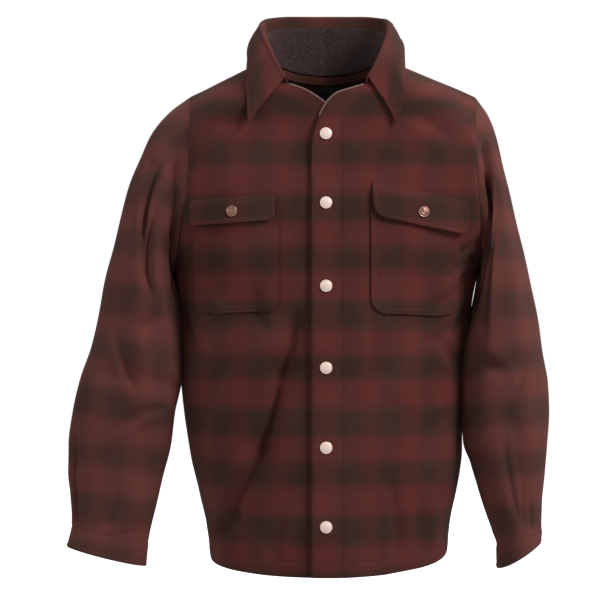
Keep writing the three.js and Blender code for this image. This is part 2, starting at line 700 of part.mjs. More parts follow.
// The collar across, from the neck seam up the stand, over the fold and down to the free edge.
function collarSection(at, side) {
  const read = (name) => readCollar(at, name);
  const tuck = side.sign > 0 ? read('tuck') : 0;
  const fold = vec(read('foldX'), read('foldY'), read('foldZ'));
  const edge = vec(read('edgeX') - tuck, read('edgeY'), read('edgeZ'));
  const seam = collarSeam(at);
  const up = fold.clone().sub(seam).normalize();
  const start = seam.addScaledVector(up, collarRise);
  const roll = read('roll');
  const away = edge.clone().sub(fold).setZ(0).normalize();
  const far = fold.clone().addScaledVector(away, 2 * roll);
  const points = [];
  for (let i = 0; i < standSteps; i += 1) points.push(start.clone().lerp(fold, i / standSteps));
  for (let i = 0; i <= rollSteps; i += 1) {
    const angle = Math.PI * (1 - i / rollSteps);
    const middle = fold.clone().lerp(far, 0.5);
    middle.addScaledVector(away, roll * Math.cos(angle));
    points.push(middle.add(vec(0, 0, roll * Math.sin(angle))));
  }
  for (let i = 1; i <= fallSteps; i += 1) {
    const t = i / fallSteps;
    const bow = read('bow') * Math.sin(Math.PI * t);
    points.push(far.clone().lerp(edge, t).addScaledVector(away, bow));
  }
  return points;
}

function collarSections(fromAt, sectionAt) {
  const total = 2 * collarHalfColumns;
  const sections = [];
  for (let j = 0; j <= total; j += 1) {
    const side = j < collarHalfColumns ? sides.left : sides.right;
    const share = 1 - Math.abs(j - collarHalfColumns) / collarHalfColumns;
    const section = sectionAt(mix(fromAt, 1, share), side);
    sections.push(section.map((point) => turned(point, side)));
  }
  return sections[0].map((_, i) => sections.map((section) => section[i]));
}

const none = () => [];
addMesh('collar', panelWall(collarSections(0, collarSection), false, clothWall, none).geometry, plaid);

// The lining lies on the stand's face towards the neck.
function liningSection(at, side) {
  const section = collarSection(at, side);
  const start = section[0];
  const fold = section[standSteps];
  const up = fold.clone().sub(start);
  const height = up.length();
  up.normalize();
  const bottom = Math.min(liningFromSeam, liningMostShare.low * height);
  const top = height - Math.min(liningBelowFold, liningMostShare.high * height);
  const steps = standSteps - 1;
  const points = [];
  for (let i = 0; i <= steps; i += 1) {
    points.push(start.clone().addScaledVector(up, mix(bottom, top, i / steps)));
  }
  return points;
}

function collarLining() {
  const onStand = collarSections(liningStartsAt, liningSection);
  const proud = moved(onStand, gridNormals(onStand, false), liningGap + liningWall);
  return panelWall(proud, false, liningWall, none);
}

addMesh('collar_lining', collarLining().geometry, darkPile);

// Where a line along y meets a panel's facets, or the nearest facet's plane just past the edge:
// the point, and the panel's smooth normal there.
function pointOn({ outer, normals }, x, z) {
  let best = { inside: -Infinity };
  for (let i = 0; i < outer.length - 1; i += 1) {
    for (let j = 0; j < outer[0].length - 1; j += 1) {
      const corners = [[i, j], [i, j + 1], [i + 1, j + 1], [i + 1, j]];
      for (const [b, c] of [[1, 2], [2, 3]]) {
        const three = [corners[0], corners[b], corners[c]];
        const [p, q, r] = three.map(([m, n]) => outer[m][n]);
        const area = (q.x - p.x) * (r.z - p.z) - (r.x - p.x) * (q.z - p.z);
        const share2 = ((x - p.x) * (r.z - p.z) - (r.x - p.x) * (z - p.z)) / area;
        const share3 = ((q.x - p.x) * (z - p.z) - (x - p.x) * (q.z - p.z)) / area;
        const shares = [1 - share2 - share3, share2, share3];
        const inside = Math.min(...shares);
        if (inside > best.inside) best = { inside, three, shares };
      }
    }
  }
  const blend = (grid) => best.three.reduce(
    (sum, [m, n], k) => sum.addScaledVector(grid[m][n], best.shares[k]),
    vec(0, 0, 0),
  );
  return { point: blend(outer), normal: blend(normals).normalize() };
}

// A piece that lies on a panel: rows of places, and the height of its outer face above the panel.
function layOn(panel, side, places, height, thickness) {
  const grid = places.map((row) => row.map(({ x, z }, j) => {
    const { point, normal } = pointOn(panel, side.sign * x, z);
    return point.addScaledVector(normal, height(row, j, z));
  }));
  const ordered = side.sign > 0 ? grid : grid.map((row) => row.reverse());
  return panelWall(ordered, false, thickness, none);
}

// A rectangle of cloth with rounded lower corners, its lowest row first.
function patchPlaces({ x, top, width, height, corner, tilt }, columns, rows) {
  const lifts = [0, 0.14 * corner, 0.5 * corner, corner];
  for (let i = 1; i <= rows; i += 1) lifts.push(mix(corner, height, i / rows));
  return lifts.map((lift) => {
    const below = Math.max(0, corner - lift);
    const inset = corner - Math.sqrt(corner ** 2 - below ** 2);
    const row = [];
    for (let j = 0; j <= columns; j += 1) {
      const across = mix(-1, 1, j / columns) * (width / 2 - inset);
      row.push({ x: x + across, z: top - height + lift - tilt * across, lift });
    }
    return row;
  });
}

const fronts = { left: leftFront, right: rightFront };

// Placket: a strip down the lapping front, from the opening's corner to the hem.
function placket() {
  const rows = 26;
  const columns = 3;
  const readEdge = reader([...lappingEdge].slice(0, 6), 'z');
  const places = [];
  for (let i = 0; i <= rows; i += 1) {
    const z = mix(hemFrontZ + placketAboveHem, placketTopZ, i / rows);
    const edge = z > centreAtUnderarmZ ? readEdge(z, 'x') : lappingEdge[0].x;
    const row = [];
    for (let j = 0; j <= columns; j += 1) {
      row.push({ x: mix(edge + placketFromEdge, lappingEdge[0].x + placketWidth, j / columns), z });
    }
    places.push(row);
  }
  return layOn(rightFront, sides.right, places, () => layGap + placketWall, placketWall);
}

const placketStrip = placket();
addMesh('placket', placketStrip.geometry, plaid);

const pocketColumns = 11;
const pocketRows = 5;
const flapColumns = 11;
const flapRows = 3;
const flapLift = 1.6;

const flapWalls = {};
for (const name of ['left', 'right']) {
  const side = sides[name];
  const pocketPlaces = patchPlaces(pockets[name], pocketColumns, pocketRows);
  const pocket = layOn(fronts[name], side, pocketPlaces, () => pocketGap + pocketWall, pocketWall);
  addMesh(`pocket_${name}`, pocket.geometry, plaid);

  // The flap is sewn on above the pocket and stands off over it.
  const { z, ...shape } = flaps[name];
  const flapPlaces = patchPlaces({ ...shape, top: z }, flapColumns, flapRows);
  const overPocket = pocketGap + pocketWall + layGap;
  const height = (row, j) => {
    const { lift } = row[j];
    const droop = 1 - lift / shape.height;
    return mix(layGap, overPocket, smooth(0, 0.3, droop)) + flapLift * droop + flapWall;
  };
  flapWalls[name] = layOn(fronts[name], side, flapPlaces, height, flapWall);
  addMesh(`flap_${name}`, flapWalls[name].geometry, plaid);
}

// Snaps: a low dome with a rolled rim, standing on its cloth.
function snapGeometry(radius, height) {
  const profile = [
    [0, 0],
    [radius, 0],
    [radius, 0.3 * height],
    [0.93 * radius, 0.62 * height],
    [0.8 * radius, 0.72 * height],
    [0.45 * radius, 0.93 * height],
    [0, height],
  ];
  return new THREE.LatheGeometry(profile.map(([r, h]) => new THREE.Vector2(r, h)), snapTurns);
}

function addSnap(name, wall, x, z, radius, material, onRoundCloth = false) {
  const { point, normal } = pointOn(wall, x, z);
  const rim = onRoundCloth ? 0 : snapRimSpots;
  let highest = 0;
  for (let i = 0; i < rim; i += 1) {
    const angle = (i / rim) * Math.PI * 2;
    const rimX = x + radius * Math.cos(angle);
    const rimZ = z + radius * Math.sin(angle);
    const there = pointOn(wall, rimX, rimZ).point;
    highest = Math.max(highest, there.sub(point).dot(normal));
  }
  const geometry = snapGeometry(radius, snapHeight);
  const turn = new THREE.Quaternion().setFromUnitVectors(vec(0, 1, 0), normal);
  const mesh = new THREE.Mesh(geometry, material);
  mesh.name = name;
  mesh.quaternion.copy(turn);
  mesh.position.copy(point).addScaledVector(normal, highest + seamGap);
  group.add(mesh);
}

frontSnaps.forEach((z, i) => {
  const x = lappingEdge[0].x + placketWidth / 2;
  addSnap(`snap_front_${i + 1}`, placketStrip, x, z, snapRadius, paleSnap);
});
for (const name of ['left', 'right']) {
  const { snapX, snapZ, sign } = flaps[name];
  addSnap(`snap_pocket_${name}`, flapWalls[name], sign * snapX, snapZ, pocketSnapRadius, copperSnap);

  // The back half of the cuff's ring of points.
  const firstBack = sign > 0 ? 1 : rowsAboveArm + 1;
  const behind = (grid) => grid.map((row) => row.slice(firstBack, firstBack + rowsAboveArm - 1));
  const cuffBack = { outer: behind(cuffs[name].outer), normals: behind(cuffs[name].normals) };
  const { x, z } = cuffSnaps[name];
  addSnap(`snap_cuff_${name}`, cuffBack, sign * x, z, pocketSnapRadius, copperSnap, true);
}

// A bare label inside the back, under the neck seam.
const backInside = {
  outer: back.inner,
  normals: back.normals.map((row) => row.map((normal) => normal.clone().negate())),
};
const labelPlaces = patchPlaces(label, 3, 2);
const labelHeight = () => layGap + label.wall;
const labelPiece = layOn(backInside, sides.right, labelPlaces, labelHeight, label.wall);
addMesh('neck_label', labelPiece.geometry, labelCloth);

export default group;
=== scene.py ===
import math

import bpy
import numpy as np
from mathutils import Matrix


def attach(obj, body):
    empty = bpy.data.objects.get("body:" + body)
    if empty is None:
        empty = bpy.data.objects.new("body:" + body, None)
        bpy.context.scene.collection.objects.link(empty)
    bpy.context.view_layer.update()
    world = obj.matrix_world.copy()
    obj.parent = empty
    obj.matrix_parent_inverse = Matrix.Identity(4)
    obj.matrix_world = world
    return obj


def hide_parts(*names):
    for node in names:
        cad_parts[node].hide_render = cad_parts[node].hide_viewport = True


# A wool shirt jacket in a shadow plaid, filled out as if worn, with nobody in it.
# Tables are in millimetres: +Z up, -Y the front, +X the viewer's right.
# In them x runs from the middle out to the panel's own side; sign -1 or +1 turns it.
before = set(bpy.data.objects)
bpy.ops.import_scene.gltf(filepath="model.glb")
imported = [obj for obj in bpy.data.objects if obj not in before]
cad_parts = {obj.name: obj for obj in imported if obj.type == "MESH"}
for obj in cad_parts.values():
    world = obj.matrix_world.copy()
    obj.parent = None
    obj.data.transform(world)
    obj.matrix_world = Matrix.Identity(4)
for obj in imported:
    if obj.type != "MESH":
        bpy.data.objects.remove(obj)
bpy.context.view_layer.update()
print("frame loaded:", len(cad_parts), "nodes")

metre = 0.001  # millimetres to Blender's metres

body = {
    "wall": 2.0,
    "seamGap": 0.08,
    "underarmY": 8,
    "underarmZ": -283,
    "centreAtUnderarmZ": -292,
    "hemFrontZ": -694,
    "hemBackZ": -690,
    "fullness": 0.86,
    "overlapLift": 2.8,
    "overlapFullX": 20,
    "overlapEndX": 52,
    "backNeckShare": 0.45,
    "pitch": 3.4,
    "hemStitch": 19,
    "edgeStitch": 6,
    "creaseScale": 1.7,
    "belowUnderarm": 400,
    "aboveUnderarm": 320,
    "frontAcross": 262,
    "backAcross": 270,
}
# How far the cloth sinks or rises beside its edges, and how far in that reaches.
edgeShape = {
    "seamDip": 0.4,
    "seamReach": 2.8,
    "puff": 0.35,
    "nick": 0.55,
    "nickReach": 1.3,
    "drop": 0.3,
    "dropReach": 1.2,
    "rimRoundness": 0.5,
}

# Half widths at the side seams, hem first, and the armholes from the underarm up.
sides = {
    "left": {
        "sign": -1,
        "hemZ": -680,
        "seam": {
            "z": [-690, -672, -638, -588, -538, -487, -433, -351, -312, -283],
            "x": [160, 162, 166, 178, 189, 197, 203, 204, 207, 213],
        },
        "armhole": {
            "at": [0, 0.17, 0.34, 0.5, 0.66, 0.8, 0.9, 1],
            "x": [213, 206, 197, 190, 187, 187, 188, 190],
            "yFront": [8, -44, -74, -86, -81, -61, -36, 0],
            "yBack": [8, 58, 88, 100, 96, 76, 46, 0],
            "z": [-283, -263, -222, -176, -126, -84, -56, -38],
        },
    },
    "right": {
        "sign": 1,
        "hemZ": -667,
        "seam": {
            "z": [-690, -655, -622, -588, -554, -530, -487, -440, -400, -358, -312, -283],
            "x": [168, 171, 175, 182, 188, 191, 192, 193, 195, 200, 207, 213],
        },
        "armhole": {
            "at": [0, 0.17, 0.34, 0.5, 0.66, 0.8, 0.9, 1],
            "x": [213, 213, 211, 208, 206, 206, 207, 209],
            "yFront": [8, -44, -73, -84, -79, -60, -35, 0],
            "yBack": [8, 58, 88, 100, 96, 76, 46, 0],
            "z": [-283, -263, -222, -176, -126, -84, -56, -38],
        },
    },
}

frontDepths = {
    "z": [-694, -550, -450, -350, -250, -175],
    "depth": [141, 135, 131, 128, 126, 120],
}
backDepths = {
    "z": [-690, -550, -420, -292],
    "depth": [149, 144, 138, 137],
}

# The inner edge of each front, from underarm height up the opening and round the neck.
lappingEdge = {
    "at": [0, 0.2, 0.4, 0.48, 0.54, 0.6, 0.67, 0.74, 0.8, 0.87, 0.94, 1],
    "x": [-21, -21, -21, -20, -14, -3, 13, 35, 53, 71, 83, 86],
    "y": [-126, -122, -113, -108, -105, -102, -99, -97, -93, -73, -38, 0],
    "z": [-292, -212, -138, -108, -84, -59, -42, -34, -27, -10, 6, 14],
}
underEdge = {
    "at": [0, 0.2, 0.4, 0.5, 0.57, 0.63, 0.69, 0.745, 0.8, 0.87, 0.94, 1],
    "x": [-16, -16, -16, -16, -13, 2, 19, 36, 53, 71, 83, 86],
    "y": [-126, -122, -113, -106, -101, -100, -99, -97, -93, -73, -38, 0],
    "z": [-292, -212, -138, -98, -66, -54, -42, -33, -27, -10, 6, 14],
}
backMiddle = {
    "at": [0, 0.3, 0.55, 0.8, 1],
    "y": [137, 136, 129, 104, 64],
    "z": [-292, -200, -125, -54, -14],
}
backNeck = {
    "at": [0, 0.35, 0.65, 0.85, 1],
    "x": [0, 33, 62, 79, 86],
    "y": [64, 58, 43, 22, 0],
    "z": [-14, -11, -3, 6, 14],
}


# Shape tools on arrays of points
def mixed(a, b, t):
    return a + (b - a) * t


def eased(low, high, value):
    t = np.clip((value - low) / (high - low), 0, 1)
    return t * t * (3 - 2 * t)


def readTable(table, key, name, values):
    at = np.array(table[key], float)
    heights = np.array(table[name], float)
    slopes = np.diff(heights) / np.diff(at)
    before, after = slopes[:-1], slopes[1:]
    agree = before * after > 0
    total = np.where(agree, before + after, 1)
    inside = np.where(agree, 2 * before * after / total, 0)
    tangents = np.concatenate([slopes[:1], inside, slopes[-1:]])
    v = np.clip(values, at[0], at[-1])
    i = np.clip(np.searchsorted(at, v, side="right") - 1, 0, len(at) - 2)
    span = at[i + 1] - at[i]
    t = (v - at[i]) / span
    start = t * (1 - t) ** 2 * span * tangents[i]
    end = t * t * (t - 1) * span * tangents[i + 1]
    return mixed(heights[i], heights[i + 1], t * t * (3 - 2 * t)) + start + end


def readPoint(table, values, names=("x", "y", "z")):
    return np.stack([readTable(table, "at", name, values) for name in names], -1)


def unit(vectors):
    size = np.linalg.norm(vectors, axis=-1, keepdims=True)
    return vectors / np.maximum(size, 1e-9)


def gridNormals(points, wrap=False):
    if wrap:
        across = np.roll(points, -1, 1) - np.roll(points, 1, 1)
    else:
        across = np.gradient(points, axis=1)
    return unit(np.cross(across, np.gradient(points, axis=0)))


def arcAlong(points, axis):
    steps = np.linalg.norm(np.diff(points, axis=axis), axis=-1)
    start = np.zeros_like(np.take(steps, [0], axis=axis))
    return np.concatenate([start, np.cumsum(steps, axis=axis)], axis=axis)


# Places from 0 to 1 along a length, close together at its ends and at any stitch line.
def placesAlong(length, pitch, lines=()):
    wanted = [0, 1.1, 2.3, 4, length - 4, length - 2.3, length - 1.1, length]
    for line in lines:
        wanted += [line - 2.4, line - 1.1, line, line + 1.1, line + 2.4]
    count = max(2, int(round(length / pitch)))
    for step in np.linspace(0, length, count + 1):
        if min(abs(step - other) for other in wanted) > 0.55 * pitch:
            wanted.append(step)
    return np.array(sorted(wanted)) / length


# A fold runs from one point to another: a capsule-shaped trough (negative depth) or ridge.
def foldDepth(p, q, fold, scaleP=1.0, scaleQ=1.0):
    p0, q0, p1, q1, width, depth = fold
    p0, p1 = p0 * scaleP, p1 * scaleP
    q0, q1 = q0 * scaleQ, q1 * scaleQ
    alongP, alongQ = p1 - p0, q1 - q0
    t = ((p - p0) * alongP + (q - q0) * alongQ) / (alongP ** 2 + alongQ ** 2)
    t = np.clip(t, 0, 1)
    away = np.hypot(p - p0 - alongP * t, q - q0 - alongQ * t)
    return depth * np.exp(-((away / width) ** 2))


# A crease is sharper: it dies out at both ends and throws up a soft ridge on one flank.
def creaseDepth(p, q, crease, scaleP=1.0, scaleQ=1.0):
    p0, q0, p1, q1, width, depth, flank = crease
    p0, p1 = p0 * scaleP, p1 * scaleP
    q0, q1 = q0 * scaleQ, q1 * scaleQ
    alongP, alongQ = p1 - p0, q1 - q0
    length = math.hypot(alongP, alongQ)
    t = ((p - p0) * alongP + (q - q0) * alongQ) / length ** 2
    away = ((p - p0) * alongQ - (q - q0) * alongP) / length
    away = away + 0.05 * length * np.sin(math.pi * np.clip(t, 0, 1)) * flank
    ends = eased(-0.12, 0.3, t) * eased(-0.12, 0.3, 1 - t)
    trough = np.exp(-((away / width) ** 2))
    ridge = np.exp(-(((away * flank - 1.7 * width) / (1.3 * width)) ** 2))
    return body["creaseScale"] * depth * ends * (trough - 0.5 * ridge)


# Slow uneven waves, the same at each run: no cloth lies perfectly even.
def unevenness(p, q, seed, size, count=9):
    rng = np.random.default_rng(seed)
    total = np.zeros(np.broadcast(p, q).shape)
    for _ in range(count):
        angle = rng.uniform(0, math.pi)
        length = size * rng.uniform(0.7, 1.8)
        phase = rng.uniform(0, 2 * math.pi)
        run = (p * math.cos(angle) + q * math.sin(angle)) / length
        total += np.sin(2 * math.pi * run + phase)
    return total / math.sqrt(count)


# Height of the cloth beside an edge: sunk at a seam, rounded at a turned edge, nicked by stitches.
def edgeRelief(distance, kind):
    if kind == "seam":
        return -edgeShape["seamDip"] * np.exp(-((distance / edgeShape["seamReach"]) ** 2))
    line = float(kind)
    puff = edgeShape["puff"] * np.exp(-(((distance - 0.5 * line) / (0.45 * line)) ** 2))
    nick = -edgeShape["nick"] * np.exp(-(((distance - line) / edgeShape["nickReach"]) ** 2))
    return puff + nick - edgeShape["drop"] * np.exp(-((distance / edgeShape["dropReach"]) ** 2))


# Meshes
def meshObject(name, points, faces, uvs=None):
    mesh = bpy.data.meshes.new(name)
    if isinstance(faces, list):
        sizes = np.array([len(face) for face in faces])
        corners = np.concatenate([np.array(face) for face in faces])
    else:
        sizes = np.full(len(faces), faces.shape[1])
        corners = faces.reshape(-1)
    starts = np.concatenate([[0], np.cumsum(sizes)[:-1]])
    mesh.vertices.add(len(points))
    mesh.vertices.foreach_set("co", (np.asarray(points) * metre).astype(np.float32).ravel())
    mesh.loops.add(len(corners))
    mesh.loops.foreach_set("vertex_index", corners.astype(np.int32))
    mesh.polygons.add(len(sizes))
    mesh.polygons.foreach_set("loop_start", starts.astype(np.int32))
    if uvs is not None:
        layer = mesh.uv_layers.new(name="cloth")
        layer.data.foreach_set("uv", (uvs * metre).astype(np.float32).ravel())
    mesh.update(calc_edges=True)
    mesh.validate()
    mesh.polygons.foreach_set("use_smooth", np.ones(len(mesh.polygons), bool))
    obj = bpy.data.objects.new(name, mesh)
    bpy.context.scene.collection.objects.link(obj)
    return obj


# Closes an outer and an inner grid into one wall with rounded edges.
# coords has a column more than the points on a tube, for its seam.
def wallObject(name, outer, inner, coords, wrap):
    rows, columns = outer.shape[:2]
    points = [outer.reshape(-1, 3), inner.reshape(-1, 3)]
    faces, faceUvs = [], []
    count = 2 * rows * columns
    flat = coords.reshape(-1, 2)
    wide = coords.shape[1]
    i, j = np.meshgrid(np.arange(rows - 1), np.arange(columns if wrap else columns - 1), indexing="ij")
    i, j = i.ravel(), j.ravel()
    a, b = i * columns + j, i * columns + (j + 1) % columns
    c, d = a + columns, b + columns
    ua, ub = i * wide + j, i * wide + (j + 1) % wide
    uc, ud = ua + wide, ub + wide
    faces.append(np.stack([a, b, d, c], 1))
    faceUvs.append(flat[np.stack([ua, ub, ud, uc], 1)])
    faces.append(np.stack([a, c, d, b], 1) + rows * columns)
    faceUvs.append(flat[np.stack([ua, uc, ud, ub], 1)])

    def rim(ids, uvIds, beyond, closed, flip):
        nonlocal count
        top, bottom = outer.reshape(-1, 3)[ids], inner.reshape(-1, 3)[ids]
        middle, half = (top + bottom) / 2, (top - bottom) / 2
        size = np.linalg.norm(half, axis=1, keepdims=True)
        strips = [ids]
        for angle in (0.25, 0.5, 0.75):
            turn = angle * math.pi
            reach = beyond * size * math.sin(turn) * edgeShape["rimRoundness"]
            points.append(middle + half * math.cos(turn) + reach)
            strips.append(np.arange(len(ids)) + count)
            count += len(ids)
        strips.append(ids + rows * columns)
        n = len(ids)
        k = np.arange(n if closed else n - 1)
        k2 = (k + 1) % n
        for upper, lower in zip(strips[:-1], strips[1:]):
            quad = np.stack([upper[k], lower[k], lower[k2], upper[k2]], 1)
            u2 = uvIds[k + 1] if closed else uvIds[k2]
            quadUv = np.stack([uvIds[k], uvIds[k], u2, u2], 1)
            if flip:
                quad, quadUv = quad[:, ::-1], quadUv[:, ::-1]
            faces.append(quad)
            faceUvs.append(flat[quadUv])
        return strips

    row = np.arange(columns)
    uvRow = np.arange(wide)
    lowBeyond = unit(outer[0] - outer[1])
    highBeyond = unit(outer[-1] - outer[-2])
    lowStrips = rim(row, uvRow, lowBeyond, wrap, False)
    highStrips = rim(row + (rows - 1) * columns, uvRow + (rows - 1) * wide, highBeyond, wrap, True)
    if not wrap:
        column = np.arange(rows) * columns
        uvColumn = np.arange(rows) * wide
        leftStrips = rim(column, uvColumn, unit(outer[:, 0] - outer[:, 1]), False, True)
        last = columns - 1
        rightStrips = rim(column + last, uvColumn + last, unit(outer[:, -1] - outer[:, -2]), False, False)
        # Where two rims meet, their ends are the same corner.
        corners = [(lowStrips, 0, leftStrips, 0), (lowStrips, -1, rightStrips, 0),
                   (highStrips, 0, leftStrips, -1), (highStrips, -1, rightStrips, -1)]
        allPoints = np.concatenate(points)
        joinTo = np.arange(len(allPoints))
        for one, oneEnd, other, otherEnd in corners:
            for level in (1, 2, 3):
                first, second = one[level][oneEnd], other[level][otherEnd]
                allPoints[first] = (allPoints[first] + allPoints[second]) / 2
                joinTo[second] = first
        faces = [joinTo[face] for face in faces]
        keep = np.flatnonzero(joinTo == np.arange(len(allPoints)))
        newId = np.zeros(len(allPoints), int)
        newId[keep] = np.arange(len(keep))
        faces = [newId[face] for face in faces]
        points = [allPoints[keep]]
    cornerUvs = np.concatenate(faceUvs).reshape(-1, 2)
    return meshObject(name, np.concatenate(points), np.concatenate(faces), cornerUvs)


# The reach of a cut piece before it was sewn: its widest row, longest column and flat area.
def cutSize(points, wrap=False):
    grid = np.concatenate([points, points[:, :1]], 1) if wrap else points
    across, up = arcAlong(grid, 1)[:, -1], arcAlong(grid, 0)[-1]
    one = np.cross(grid[1:, :-1] - grid[:-1, :-1], grid[:-1, 1:] - grid[:-1, :-1])
    two = np.cross(grid[1:, :-1] - grid[1:, 1:], grid[:-1, 1:] - grid[1:, 1:])
    area = (np.linalg.norm(one, axis=-1).sum() + np.linalg.norm(two, axis=-1).sum()) / 2
    width, length = across.max() * metre, up.max() * metre
    return (round(width, 3), round(length, 3)), round(min(area * metre ** 2, 0.999 * width * length), 4)


cuts = {}


# A wall of cloth under its outer face, kept off the joint planes at its seams.
def clothWall(name, nodeName, slotName, outer, coords, wall, cut, finish, wrap=False, keepOff=()):
    normals = gridNormals(outer, wrap)
    inner = outer - normals * wall
    for mask, origin, direction in keepOff:
        for grid in (outer, inner):
            off = ((grid - origin) * direction).sum(-1)
            push = np.where(mask, np.maximum(0, body["seamGap"] / 2 - off), 0)
            grid += push[..., None] * direction
    obj = wallObject(name, outer, inner, coords, wrap)
    obj.data.materials.append(finish)
    cuts[obj.name] = (obj, nodeName, slotName, cut)
    return {"outer": outer, "inner": inner, "normals": normals, "coords": coords}


# Finishes
class Sock:
    def __init__(self, link, tree):
        self.link = link
        self.tree = tree

    def maths(self, operation, *values):
        return node(self.tree, "ShaderNodeMath", {"operation": operation}, *values)

    def __add__(self, other):
        return self.maths("ADD", self, other)

    def __radd__(self, other):
        return self.maths("ADD", other, self)

    def __sub__(self, other):
        return self.maths("SUBTRACT", self, other)

    def __rsub__(self, other):
        return self.maths("SUBTRACT", other, self)

    def __mul__(self, other):
        return self.maths("MULTIPLY", self, other)

    def __rmul__(self, other):
        return self.maths("MULTIPLY", other, self)

    def __truediv__(self, other):
        return self.maths("DIVIDE", self, other)

# Any node: its settings first, then the values or links of its sockets, by place or by name.
def node(tree, kind, settings=None, *values, output=0, **named):
    made = tree.nodes.new(kind)
    for key, value in (settings or {}).items():
        setattr(made, key, value)
    pairs = list(zip(range(len(values)), values)) + list(named.items())
    for key, value in pairs:
        socket = made.inputs[key if isinstance(key, int) else key.replace("_", " ")]
        if isinstance(value, Sock):
            tree.links.new(value.link, socket)
        elif value is not None:
            socket.default_value = value
    return Sock(made.outputs[output], tree)


def mixColour(tree, factor, one, other, blend="MIX"):
    made = tree.nodes.new("ShaderNodeMix")
    made.data_type = "RGBA"
    made.blend_type = blend
    sockets = [s for s in made.inputs if s.enabled]
    for socket, value in zip(sockets, (factor, one, other)):
        if isinstance(value, Sock):
            tree.links.new(value.link, socket)
        else:
            socket.default_value = value
    return Sock([s for s in made.outputs if s.enabled][0], tree)


def colour(red, green, blue):
    def linear(value):
        share = value / 255
        return share / 12.92 if share <= 0.04045 else ((share + 0.055) / 1.055) ** 2.4
    return (linear(red), linear(green), linear(blue), 1)


def newMaterial(name, values):
    material = bpy.data.materials.new(name)
    material.use_nodes = True
    tree = material.node_tree
    shader = tree.nodes["Principled BSDF"]
    for key, value in values.items():
        shader.inputs[key].default_value = value
    return material, tree, shader


def soften(tree, value, low, high):
    return node(tree, "ShaderNodeMapRange", {"interpolation_type": "SMOOTHSTEP"}, value, low, high, 0.0, 1.0)


def addBump(tree, shader, height, strength, distance):
    bump = node(tree, "ShaderNodeBump", {}, Strength=strength, Distance=distance, Height=height)
    tree.links.new(bump.link, shader.inputs["Normal"])


plaidLook = {
    "red": colour(93, 41, 38),
    "dark": colour(53, 34, 27),
    "haze": colour(116, 82, 76),
    "acrossRepeat": 0.119,
    "redColumnAt": -0.001,
    "upRepeat": 0.0722,
    "darkBandAt": -0.1965,
    "roughness": 0.94,
    "sheen": 0.45,
    "twillPitch": 0.0017,
    "contrast": 1.0,
}
# The sleeves get a lighter, hazier, lower-contrast copy of the plaid: painted sheen, the haze that grazing
# light raises on their nap.
sleeveSheenLook = plaidLook | {"red": colour(104, 54, 50), "dark": colour(64, 42, 36), "contrast": 0.85}


# A shadow plaid: every thread is red or dark, changing softly, and both ways are woven together.
def plaidWool(name, look):
    material, tree, shader = newMaterial(name, {
        "Roughness": look["roughness"],
        "Specular IOR Level": 0.18,
        "Sheen Weight": look["sheen"],
        "Sheen Roughness": 0.45,
        "Sheen Tint": look["haze"],
    })
    uv = node(tree, "ShaderNodeUVMap", {"uv_map": "cloth"})
    parts = tree.nodes.new("ShaderNodeSeparateXYZ")
    tree.links.new(uv.link, parts.inputs[0])
    across, up = Sock(parts.outputs[0], tree), Sock(parts.outputs[1], tree)

    def noise(scale, detail=2.0):
        place = node(tree, "ShaderNodeTexCoord", output=3)
        return node(tree, "ShaderNodeTexNoise", {}, Vector=place, Scale=scale, Detail=detail)

    wobble = (noise(38.0) - 0.5) * 0.006
    u = (across + wobble - look["redColumnAt"]) / look["acrossRepeat"]
    v = (up + wobble - look["darkBandAt"]) / look["upRepeat"]

    def wave(value, shift=0.0):
        turn = (value + shift) * (2 * math.pi)
        return turn.maths("COSINE", turn)

    # Across: a strong and a weaker red column in each repeat, with a dark one on each side.
    columns = 0.5 - 0.5 * wave(u * 2.0) - 0.13 * wave(u) + 0.13
    bands = 0.5 + 0.5 * wave(v) + 0.12 * wave(v * 0.5, 0.12)
    warp = soften(tree, columns, -0.1, 1.1)
    weft = soften(tree, bands, 0.0, 1.0)
    heather = (noise(900.0, 3.0) - 0.5) * 0.5 + (noise(240.0) - 0.5) * 0.22 + (noise(30.0) - 0.5) * 0.5
    darkness = warp * 0.36 + weft * 0.64 + heather * 0.5
    darkness = (darkness - 0.5) * look["contrast"] + 0.5
    darkness = node(tree, "ShaderNodeClamp", {}, darkness, 0.0, 1.0)
    cloth = mixColour(tree, darkness, look["red"], look["dark"])
    # Broad random patches mixed towards the haze colour are painted sheen, the nap's haze varying from place
    # to place.
    sheenPatches = soften(tree, noise(9.0, 3.0), 0.35, 0.75)
    cloth = mixColour(tree, sheenPatches * 0.1, cloth, look["haze"])
    lint = soften(tree, noise(1500.0, 1.0), 0.7, 0.78)
    cloth = mixColour(tree, lint * 0.25, cloth, look["haze"])
    tree.links.new(cloth.link, shader.inputs["Base Color"])

    ribs = (across + up) / look["twillPitch"]
    twill = wave(ribs + noise(160.0) * 1.2) * 0.5 + 0.5
    height = twill * 0.35 + noise(1300.0, 4.0) * 0.9 + noise(260.0, 3.0) * 0.8
    addBump(tree, shader, height, 0.55, 0.0007)
    return material


# Plain fine cloth, thread or pile: a colour that varies a little, and a grain.
def fineCloth(name, base, other, scale, depth, values):
    material, tree, shader = newMaterial(name, values)
    place = node(tree, "ShaderNodeTexCoord", output=3)
    grain = node(tree, "ShaderNodeTexNoise", {}, Vector=place, Scale=scale, Detail=4.0)
    shade = mixColour(tree, soften(tree, grain, 0.3, 0.7), base, other)
    tree.links.new(shade.link, shader.inputs["Base Color"])
    addBump(tree, shader, grain, 0.6, depth)
    return material


def snapMetal(name, base, worn, values):
    material, tree, shader = newMaterial(name, values)
    place = node(tree, "ShaderNodeTexCoord", output=3)
    spots = node(tree, "ShaderNodeTexNoise", {}, Vector=place, Scale=420.0, Detail=4.0)
    patches = soften(tree, spots, 0.4, 0.7)
    shade = mixColour(tree, patches, base, worn)
    tree.links.new(shade.link, shader.inputs["Base Color"])
    rough = patches * 0.18 + values["Roughness"]
    tree.links.new(rough.link, shader.inputs["Roughness"])
    return material


